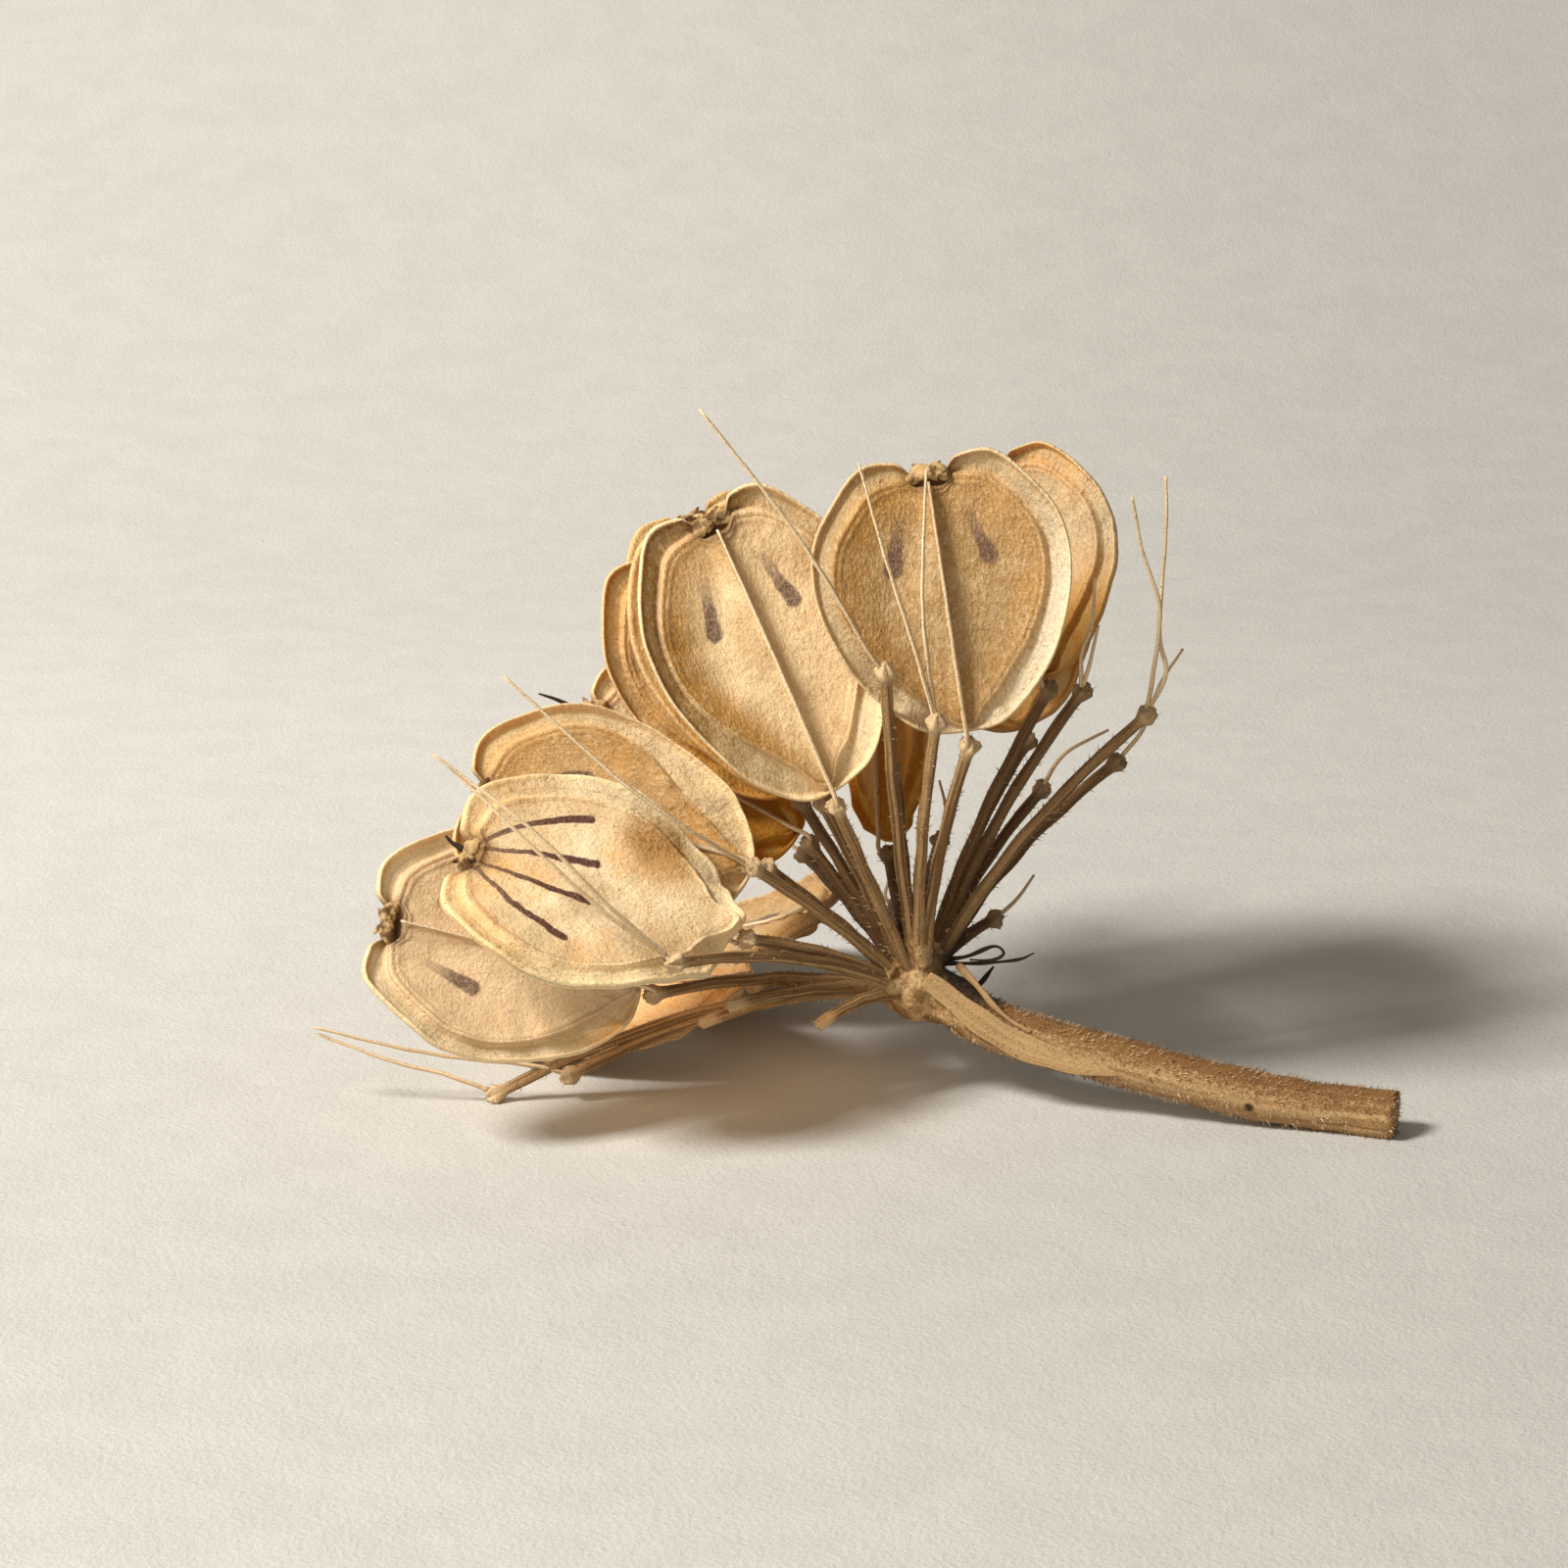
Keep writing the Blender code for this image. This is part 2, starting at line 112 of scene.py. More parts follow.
def rod(route, radius_at, sides, flat=1.0, across=None, start=0.0):
    """A closed rod along a route. radius_at takes the length run so far, the share of the whole
    length and the angles round the rod; flat squeezes it at right angles to across. Its pattern
    starts at the length start."""
    route = np.array([tuple(point) for point in route])
    steps = np.diff(route, axis=0)
    lengths = np.concatenate([[0], np.cumsum(np.linalg.norm(steps, axis=1))])
    headings = np.gradient(route, axis=0)
    headings /= np.linalg.norm(headings, axis=1)[:, None]
    angles = np.linspace(0, math.tau, sides, endpoint=False)
    one = np.array(tuple(across)) if across else np.cross(headings[0], SKEW)
    rings, grain, runs, lifts = [], [], [], []
    for place, heading, length in zip(route, headings, lengths):
        one = one - heading * np.dot(one, heading)
        one /= np.linalg.norm(one)
        two = np.cross(heading, one)
        radius = radius_at(length, length / lengths[-1], angles)
        rings.append(place + np.outer(radius * np.cos(angles), one)
                     + np.outer(radius * flat * np.sin(angles), two))
        lifts.append(np.cos(angles) * one[2] + np.sin(angles) * two[2])
        grain.append(np.stack([np.cos(angles), np.sin(angles),
                               np.full(sides, start + length)], axis=1))
        runs.append(np.tile(heading, (sides, 1)))
    count = len(route)
    points = np.concatenate(rings + [route[:1], route[-1:]])
    grain = np.concatenate(grain + [[[0, 0, start]], [[0, 0, start + lengths[-1]]]])
    runs = np.concatenate(runs + [headings[:1], headings[-1:]])
    faces = []
    for k in range(count - 1):
        for j in range(sides):
            a, b = k * sides + j, k * sides + (j + 1) % sides
            faces.append((a, b, b + sides, a + sides))
    last = (count - 1) * sides
    for j in range(sides):
        nxt = (j + 1) % sides
        faces.append((count * sides, nxt, j))
        faces.append((count * sides + 1, last + j, last + nxt))
    return dict(points=points, faces=faces, grain=grain, run=runs,
                lift=np.concatenate(lifts + [[0, 0]]))


def make_body(name, shells, finish):
    """One object of closed shells whose points are in mm. What else the shells hold becomes
    attributes of the mesh. Nothing reaches below the table."""
    faces, first = [], 0
    for shell in shells:
        faces += [tuple(corner + first for corner in face) for face in shell["faces"]]
        first += len(shell["points"])
    points = np.concatenate([shell["points"] for shell in shells])
    points[:, 2] = np.maximum(points[:, 2], 0)
    mesh = bpy.data.meshes.new(name)
    mesh.from_pydata((points * MM).tolist(), [], faces)
    mesh.polygons.foreach_set("use_smooth", [True] * len(mesh.polygons))
    for key in shells[0]:
        if key not in ("points", "faces"):
            values = np.concatenate([shell[key] for shell in shells]).astype(np.float32)
            vector = values.ndim == 2
            kind = "FLOAT_VECTOR" if vector else "FLOAT"
            attribute = mesh.attributes.new(key, kind, "POINT")
            attribute.data.foreach_set("vector" if vector else "value", values.ravel())
    mesh.materials.append(finish)
    return add_object(name, mesh)


def hand_over(piece, node):
    """The finished piece takes the place of the plain solid of a node."""
    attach(piece, "root")
    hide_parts(node)
    return piece


def make_piece(name, shells, finish, node):
    """A finished piece from its closed shells."""
    return hand_over(make_body(name, shells, finish), node)


class Finish:
    """A material whose node tree is drawn up step by step. Sizes of its patterns are in mm."""

    def __init__(self, name, roughness, specular):
        self.material = bpy.data.materials.new(name)
        self.material.use_nodes = True
        self.tree = self.material.node_tree
        self.shader = self.tree.nodes["Principled BSDF"]
        self.shader.inputs["Roughness"].default_value = roughness
        self.shader.inputs["Specular IOR Level"].default_value = specular
        place = self.add("ShaderNodeTexCoord").outputs["Object"]
        self.place = self.vector("SCALE", place, scale=1 / MM)

    def feed(self, socket, value):
        """Links another node's output to the socket, or sets its value. Colours are opaque."""
        if isinstance(value, bpy.types.NodeSocket):
            self.tree.links.new(value, socket)
        else:
            socket.default_value = (*value, 1) if socket.type == "RGBA" else value

    def add(self, kind, inputs=None, **settings):
        node = self.tree.nodes.new(kind)
        for key, value in settings.items():
            setattr(node, key, value)
        for key, value in (inputs or {}).items():
            self.feed(node.inputs[key], value)
        return node

    def math(self, operation, *values):
        return self.add("ShaderNodeMath", dict(enumerate(values)),
                        operation=operation).outputs[0]

    def times(self, value, *others):
        for other in others:
            value = self.math("MULTIPLY", value, other)
        return value

    def plus(self, one, other):
        return self.math("ADD", one, other)

    def minus(self, one, other):
        return self.math("SUBTRACT", one, other)

    def vector(self, operation, *values, scale=None, out="Vector"):
        node = self.add("ShaderNodeVectorMath", dict(enumerate(values)), operation=operation)
        if scale is not None:
            self.feed(node.inputs["Scale"], scale)
        return node.outputs[out]

    def stored(self, name, out="Vector"):
        return self.add("ShaderNodeAttribute", attribute_name=name).outputs[out]

    def parts(self, vector):
        return self.add("ShaderNodeSeparateXYZ", {0: vector}).outputs

    def joined(self, x, y, z):
        return self.add("ShaderNodeCombineXYZ", {0: x, 1: y, 2: z}).outputs[0]

    def rise(self, value, low, high, start=0.0, end=1.0):
        """A soft step from start to end as the value goes from low to high."""
        node = self.add("ShaderNodeMapRange", {"Value": value, "From Min": low, "From Max": high,
                                               "To Min": start, "To Max": end},
                        interpolation_type="SMOOTHSTEP")
        return node.outputs["Result"]

    def distance(self, place):
        """How far the surface lies from a place of the view, in mm."""
        return self.vector("DISTANCE", self.place, tuple(spot(*place)), out="Value")

    def mottle(self, place, size, detail=4.0, roughness=0.6):
        """Cloudy noise, from 0 to 1, with patches of about the given size."""
        node = self.add("ShaderNodeTexNoise", {"Vector": place, "Scale": 1 / size,
                                               "Detail": detail, "Roughness": roughness})
        return node.outputs["Fac"]

    def mix(self, share, under, over):
        node = self.add("ShaderNodeMix", {0: share, 6: under, 7: over}, data_type="RGBA")
        return node.outputs[2]

    def colour(self, value):
        """The surface's first coat."""
        self.coat = value
        self.feed(self.shader.inputs["Base Color"], value)

    def cover(self, share, colour):
        """A further coat over the ones before, by a share from 0 to 1."""
        self.colour(self.mix(share, self.coat, colour))

    def relief(self, *layers):
        """Bump from layers of (height from 0 to 1, depth in mm)."""
        normal = None
        for height, depth in layers:
            bump = self.add("ShaderNodeBump", {"Height": height, "Distance": depth * MM,
                                               "Strength": 1.0})
            if normal:
                self.feed(bump.inputs["Normal"], normal)
            normal = bump.outputs["Normal"]
        self.feed(self.shader.inputs["Normal"], normal)


def woody_finish(name, light, dark, streak, gnarl):
    """Dry stalk: long streaks and ribs along the rod, fine pits, and pale dead tissue."""
    skin = Finish(name, roughness=0.62, specular=0.3)
    turn_x, turn_y, length = skin.parts(skin.stored("grain"))
    fibres = skin.mottle(skin.joined(turn_x, turn_y, skin.times(length, 0.09)), streak, detail=5.0)
    blotch = skin.mottle(skin.place, 0.9, detail=3.0)
    pits = skin.mottle(skin.place, 0.09, detail=2.0, roughness=0.7)
    skin.colour(dark)
    skin.cover(skin.rise(fibres, 0.42, 0.58), light)
    skin.cover(skin.rise(blotch, 0.5, 0.75, end=0.45), dark)
    skin.cover(skin.rise(pits, 0.60, 0.72, end=0.7), (0.04, 0.02, 0.01))
    skin.relief((fibres, gnarl), (pits, 0.04))
    return skin


def stem_radius(length, share, angles):
    """Thin ribs round the stem, and a swelling where it meets the hub."""
    ribs = np.abs(np.sin(angles * STEM_RIBS / 2)) ** 0.6 - 0.6
    swell = 0.10 * math.exp(-length / 1.2)
    uneven = 0.02 * np.sin(1.7 * length + 2 * angles) + 0.012 * np.sin(4.1 * length + angles)
    return STEM_RADIUS + swell + STEM_RIB_DEPTH * ribs + uneven - 0.02


stem_finish = woody_finish("stem_skin", (0.47, 0.30, 0.14), (0.33, 0.185, 0.07), 0.25, 0.035)
# The upper side is painted darker in speckles.
stem_speckle = stem_finish.mottle(stem_finish.place, 0.11, roughness=0.7)
stem_top = stem_finish.plus(stem_finish.stored("lift", "Fac"), stem_finish.times(stem_speckle, 2.4))
stem_finish.cover(stem_finish.rise(stem_top, 1.35, 1.95, end=0.9), (0.18, 0.078, 0.018))
stem_finish.cover(stem_finish.rise(stem_finish.distance(STEM_SCAR), 0.20, 0.09),
                  (0.05, 0.025, 0.008))
stem = make_piece("stem", [rod(seen_route(STEM_ROUTE, 14), stem_radius, STEM_SIDES)],
                  stem_finish.material, "stalk")


# Each seed is one flat, winged half of a fruit. Its inner face has a raised line inside the rim, a
# ridge down the middle and two short dark oil lines; its back has four longer ones that fan from
# the apex, between thin ribs. A lumpy cap with the remains of the styles sits at the apex.
# Heights, radii and wrinkles are in mm, shares are of the way from the middle to the rim. A tip
# value paints the cap olive from 0.45 up and a style black at 1.
SEED_COLUMNS = 160
SEED_SHARES = np.concatenate([np.linspace(0.07, 0.67, 11), np.linspace(0.69, 0.90, 15),
                              np.linspace(0.912, 0.972, 6), (0.980, 0.988, 0.994, 0.998)])
SEED_FULLNESS = 0.85
SEED_TAPER = 0.22
SEED_WIDEST = 1.02
SEED_SHOULDER = 0.05
SHOULDER_AT = 0.38
SHOULDER_SPREAD = 0.26
SEED_NOTCH = 0.05
NOTCH_SIDES = (0.05, 0.15)
COLUMN_CROWDING = 0.3
WAVES = 5
MARGIN_WAVER = 0.004
RIDGE_HEIGHT = 0.33
FIELD_HEIGHT = 0.06
FIELD_SWELL = 0.12
CHANNEL_DROP = 0.20
INNER_LINES = (0.07, 0.05)
INNER_RIM = 0.27
BACK_SWELL = 0.20
BACK_DROP = 0.17
BACK_LINE = 0.06
BACK_RIM = 0.05
BACK_RIBS = (-0.78, -0.42, 0.0, 0.42, 0.78)
RIB_HEIGHT = 0.045
RIM_RIPPLE = 0.03
BASE_WRINKLE = 0.014
SKIN_WRINKLES = ((0.035, 0.9), (0.018, 0.35))
CAP_RADIUS = 0.25
CAP_AT = 0.958
CAP_SINK = 0.22
CAP_TALL = 0.26
CAP_LOBE = 0.60
STYLE_RADIUS = 0.10
CAP_TIP = 0.45
SHORT_STYLE_TIP = 0.5
LONG_STYLE_TIP = 1.0
LINE_SHARE = 0.82
ROUND_EDGE = 0.028
SHEET_LENGTH = 8.6
SHEET_HALF = 3.5
SEAT_BACK = 0.42
SEAT_OUT = 0.15
THREAD_LIFT = 0.47
THREAD_SHARES = (-0.03, 0.06, 0.35, 0.65, 0.93)

# Base at the knob, apex, width, roll of the inner face from the viewer round the base-apex line,
# and how far the sides cup, the length bows and the rim waves towards the inner face. Styles are
# about the lengths of the two at the apex. Folds lift the wing at an angle round the seed: angle,
# spread, lift, share where the fold starts. Lean tips the field over within its wing. Broad widens
# the wing round an angle: angle, spread, share. Ragged frays the margin at the base.
PLAIN_SEED = dict(wave=0.10, styles=(0.12, 0.1), folds=(), lean=0.0, broad=(0.8, 0.8, 0.04),
                  ragged=0.0)
SEEDS = {
    "seed_middle_front": dict(base=(-2.8, 8.8, -2.5), apex=(-6.5, 17.2, -1.2), width=6.6,
                              roll=11, cup=0.3, bow=-0.2, wave=0.12, lean=-0.1,
                              folds=((0.75, 0.35, 0.8, 0.70),), broad=(-0.7, 0.6, 0.05)),
    "seed_right_front": dict(base=(1.2, 10.6, -2.9), apex=(0.0, 18.6, -1.3), width=7.3,
                             roll=-4, cup=0.5, bow=-0.2, lean=0.45, broad=(1.6, 0.9, 0.045),
                             folds=((-0.5, 0.18, 0.4, 0.75), (0.35, 0.12, 0.2, 0.7))),
    "seed_right_far": dict(base=(3.7, 12.2, 1.2), apex=(2.1, 18.6, 4.4), width=6.0,
                           roll=-25, cup=-0.3, bow=0.3),
    "seed_middle_inner": dict(base=(-3.2, 8.9, -0.9), apex=(-7.0, 16.8, 0.4), width=6.1,
                              roll=190, cup=0.2, bow=0.0),
    "seed_middle_outer": dict(base=(-3.9, 8.9, 1.5), apex=(-7.9, 16.0, 3.2), width=6.3,
                              roll=8, cup=0.2, bow=0.0, wave=0.12),
    "seed_left_top": dict(base=(-3.9, 7.3, 2.0), apex=(-10.2, 11.2, 2.8), width=6.4,
                          roll=40, cup=0.2, bow=0.2, styles=(1.4, 0.3)),
    "seed_left_upper": dict(base=(-5.1, 6.7, -1.7), apex=(-13.5, 8.8, -2.0), width=6.9,
                            roll=22, cup=0.2, bow=-0.2, wave=0.12, broad=(0.9, 0.6, 0.14),
                            folds=((0.9, 0.3, -0.45, 0.62), (0.9, 0.28, 0.35, 0.5))),
    "seed_left_ribbed": dict(base=(-5.6, 4.8, -4.3), apex=(-13.8, 7.2, -4.7), width=6.8,
                             roll=214, cup=-0.3, bow=0.2, wave=0.20, styles=(0.55, 0.2),
                             folds=((0.25, 0.13, 0.35, 0.8), (-0.12, 0.12, -0.3, 0.8),
                                    (-0.5, 0.14, 0.25, 0.82)),
                             broad=(-1.9, 0.7, 0.08), ragged=0.012),
    "seed_left_lower": dict(base=(-8.4, 3.0, -2.1), apex=(-16.2, 5.1, -4.1), width=6.9,
                            roll=25, cup=0.3, bow=-0.2),
    "seed_low_flat": dict(base=(-5.3, 2.9, 1.5), apex=(-12.0, 2.9, 5.5), width=6.4,
                          roll=58, cup=-0.2, bow=0.2),
    "seed_core": dict(base=(-1.0, 7.4, 3.6), apex=(-1.2, 14.4, 5.4), width=5.8,
                      roll=-62, cup=0.2, bow=0.0),
    "seed_back_low": dict(base=(-3.2, 4.9, 5.2), apex=(-6.6, 4.25, 12.4), width=6.8,
                          roll=72, cup=0.2, bow=0.2),
    "seed_back_middle": dict(base=(-4.0, 11.3, 6.2), apex=(-7.0, 17.2, 8.8), width=6.6,
                             roll=200, cup=-0.2, bow=0.2, wave=0.12),
    "seed_back_right": dict(base=(2.8, 10.8, 5.4), apex=(1.2, 17.3, 9.0), width=6.9,
                            roll=165, cup=-0.2, bow=0.2),
}


def bump(value, centre, spread):
    """1 at the centre, falling to nothing past the spread."""
    return np.exp(-((value - centre) / spread) ** 2)


def step(value, low, high):
    """A soft step from 0 at low to 1 at high."""
    t = np.clip((value - low) / (high - low), 0, 1)
    return t * t * (3 - 2 * t)


def roughen(points, size, seed):
    """Smooth noise from -1 to 1 at each point, with lumps of about the given size in mm."""
    shift = Vector((seed * 7.3, seed * 3.1, seed * 5.7))
    return np.array([noise.noise(Vector(point) / size + shift) for point in points])


class SeedForm:
    """A seed's own axes and its curved sheet, from its row in the table."""

    def __init__(self, row, number):
        row = {**PLAIN_SEED, **row}
        self.base = spot(*row["base"])
        run = spot(*row["apex"]) - self.base
        self.length = run.length
        self.along = run.normalized()
        toward = Vector((0, -math.cos(VIEW_TILT), math.sin(VIEW_TILT)))
        toward = (toward - self.along * toward.dot(self.along)).normalized()
        self.out = Matrix.Rotation(math.radians(row["roll"]), 3, self.along) @ toward
        self.side = self.along.cross(self.out)
        self.half_width = row["width"] / 2
        self.cup, self.bow, self.wave = row["cup"], row["bow"], row["wave"]
        self.folds, self.styles, self.lean = row["folds"], row["styles"], row["lean"]
        self.broad, self.ragged = row["broad"], row["ragged"]
        self.number = number
        self.phase = 1.7 * number

    def outline(self, angle):
        """Share of the length, and share of the half width, at an angle that is 0 at the base."""
        to_apex = math.pi - np.abs(angle)
        along = (1 - np.cos(angle)) / 2
        frayed = np.sin(11 * angle + self.phase) + 0.6 * np.sin(19 * angle)
        along += (MARGIN_WAVER * np.sin(9 * angle + self.phase)
                  + self.ragged * bump(angle, 0, 0.9) * frayed)
        along += SEED_SHOULDER * bump(to_apex, SHOULDER_AT, SHOULDER_SPREAD)
        along -= SEED_NOTCH * (1 - step(to_apex, *NOTCH_SIDES))
        across = np.abs(np.sin(angle)) ** SEED_FULLNESS * (1 - SEED_TAPER * np.cos(angle))
        return along, np.copysign(across / SEED_WIDEST, np.sin(angle))

    def place(self, along, across, height):
        """Points of the curved sheet, lifted by a height in mm."""
        along, across, height = np.broadcast_arrays(along, across, height)
        height = height + self.cup * across ** 2 + self.bow * (2 * along - 1) ** 2
        return (np.array(self.base) + along[..., None] * self.length * np.array(self.along)
                + across[..., None] * self.half_width * np.array(self.side)
                + height[..., None] * np.array(self.out))

    def line_share(self, angle):
        """Where the raised line inside the rim runs: the wing is widest beside the base."""
        to_apex = math.pi - np.abs(angle)
        at, spread, extra = self.broad
        return (LINE_SHARE - 0.06 * bump(np.abs(angle), 0.75, 0.5) + 0.13 * bump(angle, 0, 0.16)
                + 0.08 * bump(to_apex, 0, 0.18) + 0.006 * np.sin(3 * angle + self.phase)
                - extra * bump(angle, at, spread))

    def painted_share(self, angle, share):
        """The share to the rim, stretched so that the raised line is always at LINE_SHARE."""
        line = self.line_share(angle)
        inside = share * LINE_SHARE / line
        outside = 1 - (1 - share) * (1 - LINE_SHARE) / (1 - line)
        return np.where(share < line, inside, outside)

    def inner_height(self, angle, share, along, across):
        """The inner face: field, double raised line, channel and rim, and the middle ridge."""
        line = self.line_share(angle)
        height = (FIELD_HEIGHT + FIELD_SWELL * step(share, 0.45, line)
                  - CHANNEL_DROP * step(share, line + 0.01, line + 0.04))
        height += (INNER_LINES[0] * bump(share, line, 0.014)
                   + INNER_LINES[1] * bump(share, line - 0.042, 0.012))
        height += INNER_RIM * step(share, 0.955, 0.985)
        offset = across * self.half_width
        strip = 0.35 + 1.35 * bump(along, 0.38, 0.26)
        ridge = np.where(offset < 0, np.clip(1 + offset / strip, 0, 1), np.exp(-offset / 0.08))
        return height + RIDGE_HEIGHT * ridge * step(share, 0.99, 0.80)

    def back_height(self, angle, share, along, across):
        """The back: swollen over the seed, thin ribs from the apex, and the wing."""
        line = self.line_share(angle)
        height = BACK_SWELL - BACK_DROP * step(share, line, line + 0.07)
        height += BACK_LINE * bump(share, line + 0.015, 0.016)
        height += BACK_RIM * step(share, 0.93, 0.97)
        offset = across * self.half_width
        from_apex = np.maximum(1 - along, 0)
        fan = offset / (0.25 + 2.6 * np.sqrt(from_apex))
        for rib in BACK_RIBS:
            height += RIB_HEIGHT * bump(fan, rib, 0.05) * step(from_apex, 0.0, 0.08)
        return -height

    def shell(self):
        """Both faces of the seed as one closed mesh with its drawing coordinates."""
        turn = np.linspace(-math.pi, math.pi, SEED_COLUMNS, endpoint=False)
        angles = turn - COLUMN_CROWDING * np.sin(2 * turn)
        edge_along, edge_across = self.outline(angles)
        points, sheet, around, inner = [], [], [], []
        rows = [(0.0, 1)] + [(s, 1) for s in SEED_SHARES] + [(1.0, 0)]
        rows += [(s, -1) for s in SEED_SHARES[::-1]] + [(0.0, -1)]
        for share, face in rows:
            along = 0.5 + (edge_along - 0.5) * share
            across = edge_across * share
            top = self.inner_height(angles, share, along, across)
            under = self.back_height(angles, share, along, across)
            middle = (top + under) / 2
            closing = np.sqrt(max(0, 1 - max(0, (share - 1 + ROUND_EDGE) / ROUND_EDGE) ** 2))
            height = middle + ((top if face > 0 else under) - middle) * closing
            if face == 0:
                height = middle
            height = height + self.wave * share ** 4 * np.sin(WAVES * angles + self.phase)
            height += RIM_RIPPLE * share ** 3 * np.sin(17 * angles + 2 * self.phase)
            to_base = bump(np.abs(angles), 0, 0.8)
            wrinkles = np.sin(21 * angles + self.phase) + np.sin(34 * angles - 2 * self.phase)
            height += BASE_WRINKLE * to_base * step(share, 0.3, 0.9) * wrinkles
            line = self.line_share(angles)
            height -= self.lean * across * (1 - step(share, line, 1.0))
            for at, spread, lift, start in self.folds:
                height += lift * step(share, start, 1.05) * bump(angles, at, spread)
            if share == 0.0:
                along, across, height = along[:1], across[:1], height[:1]
                ring_angles = angles[:1]
            else:
                ring_angles = angles
            points.append(self.place(along, across, height))
            full = np.full(len(along), share)
            painted = self.painted_share(ring_angles, share)
            sheet.append(np.stack([across * SHEET_HALF, along * SHEET_LENGTH, painted], axis=1))
            around.append(np.stack([np.cos(ring_angles) * share, np.sin(ring_angles) * share,
                                    full], axis=1))
            inner.append(np.full(len(along), 1.0 if face >= 0 else 0.0))
        points = np.concatenate(points)
        (large, lumps), (small, crumbs) = SKIN_WRINKLES
        wrinkle = large * roughen(points, lumps, self.number) + small * roughen(points, crumbs, 2)
        points = points + wrinkle[:, None] * np.array(self.out)
        rings = len(rows) - 2
        last = 1 + rings * SEED_COLUMNS
        faces = []
        for j in range(SEED_COLUMNS):
            nxt = (j + 1) % SEED_COLUMNS
            faces.append((0, 1 + j, 1 + nxt))
            faces.append((last, last - SEED_COLUMNS + nxt, last - SEED_COLUMNS + j))
            for i in range(rings - 1):
                a = 1 + i * SEED_COLUMNS
                faces.append((a + j, a + SEED_COLUMNS + j, a + SEED_COLUMNS + nxt, a + nxt))
        return dict(points=points, faces=faces, sheet=np.concatenate(sheet),
                    around=np.concatenate(around), inner=np.concatenate(inner),
                    tip=np.zeros(len(points)))

    def cap(self):
        """The two-lobed cushion in the notch at the apex and the two styles left on it."""
        shells = []

        def radius(length, share, angles):
            lumps = 1 + 0.14 * np.sin(3 * angles + self.phase + 7 * share)
            lumps += 0.10 * np.sin(5 * angles - self.phase + 11 * share)
            close = math.sqrt(max(0.02, 1 - (2 * share - 1) ** 6))
            return (CAP_RADIUS - 0.08 * share) * lumps * close

        for sign in (-1, 1):
            tall = CAP_TALL + 0.05 * math.sin(self.phase + sign)
            route = []
            for t in np.linspace(0, 1, 16):
                rise = (-CAP_SINK + tall * math.sin(math.pi * (0.15 + 0.85 * t))) / self.length
                across = sign * (CAP_LOBE * t - 0.02) / self.half_width
                route.append(self.place(CAP_AT + rise, across, 0.14 - 0.06 * t))
            shells.append((rod(route, radius, 20, across=self.out), CAP_TIP))
        for sign, reach in zip((-1, 1), self.styles):
            start = Vector(self.place(0.985, sign * 0.05, 0.08))
            bend = start + self.along * reach * 0.6 + self.side * sign * 0.10
            end = bend + self.along * reach * 0.45 - self.out * 0.08 + self.side * sign * 0.12
            style = rod(smooth_route([start, bend, end], 6), lambda length, share, angles:
                        np.full(len(angles), STYLE_RADIUS - 0.07 * share), 10)
            shells.append((style, LONG_STYLE_TIP if reach > 0.3 else SHORT_STYLE_TIP))
        for shell, tip in shells:
            count = len(shell["points"])
            shell.update(sheet=np.tile((0, 0, 0.3), (count, 1)),
                         around=np.zeros((count, 3)), inner=np.zeros(count),
                         tip=np.full(count, tip))
            del shell["grain"], shell["run"]
        return [shell for shell, tip in shells]

    def seat(self):
        """Where the pedicel's knob sits, just off the base."""
        return self.base - self.along * SEAT_BACK + self.out * (SEAT_OUT + self.bow)

    def thread(self):
        """The thread that runs from the knob up the inner face to the apex."""
        return [self.seat()] + [Vector(self.place(share, 0, THREAD_LIFT))
                                for share in THREAD_SHARES]


def oil_line(skin, across, along, start, end, thin, thick, bow, fade):
    """A dark club-shaped streak on the sheet, the same on both sides of the middle. It is paler
    by fade at its start."""
    ax, ay = start
    bx, by = end
    square = (bx - ax) ** 2 + (by - ay) ** 2
    reach = math.sqrt(square)
    off_x = skin.minus(skin.math("ABSOLUTE", across), ax)
    off_y = skin.minus(along, ay)
    dot = skin.plus(skin.times(off_x, (bx - ax) / square), skin.times(off_y, (by - ay) / square))
    share = skin.math("MAXIMUM", skin.math("MINIMUM", dot, 1.0), 0.0)
    arch = skin.times(share, skin.minus(1.0, share), 4 * bow)
    aside = skin.plus(skin.times(off_x, (ay - by) / reach), skin.times(off_y, (bx - ax) / reach))
    aside = skin.minus(aside, arch)
    past = skin.times(skin.minus(dot, share), reach)
    gap = skin.math("SQRT", skin.plus(skin.times(aside, aside), skin.times(past, past)))
    width = skin.plus(skin.times(skin.math("POWER", share, 1.4), thick - thin), thin)
    depth = skin.rise(share, 0.0, 0.7, start=1 - fade)
    return skin.times(skin.rise(skin.math("DIVIDE", gap, width), 1.2, 0.7), depth)


def spot_mask(skin, across, along, middle, size):
    """1 within a round spot on the sheet, fading to 0 at its rim."""
    off = skin.joined(skin.minus(across, middle[0]), skin.minus(along, middle[1]), 0.0)
    return skin.rise(skin.vector("LENGTH", off, out="Value"), size, 0.35 * size)
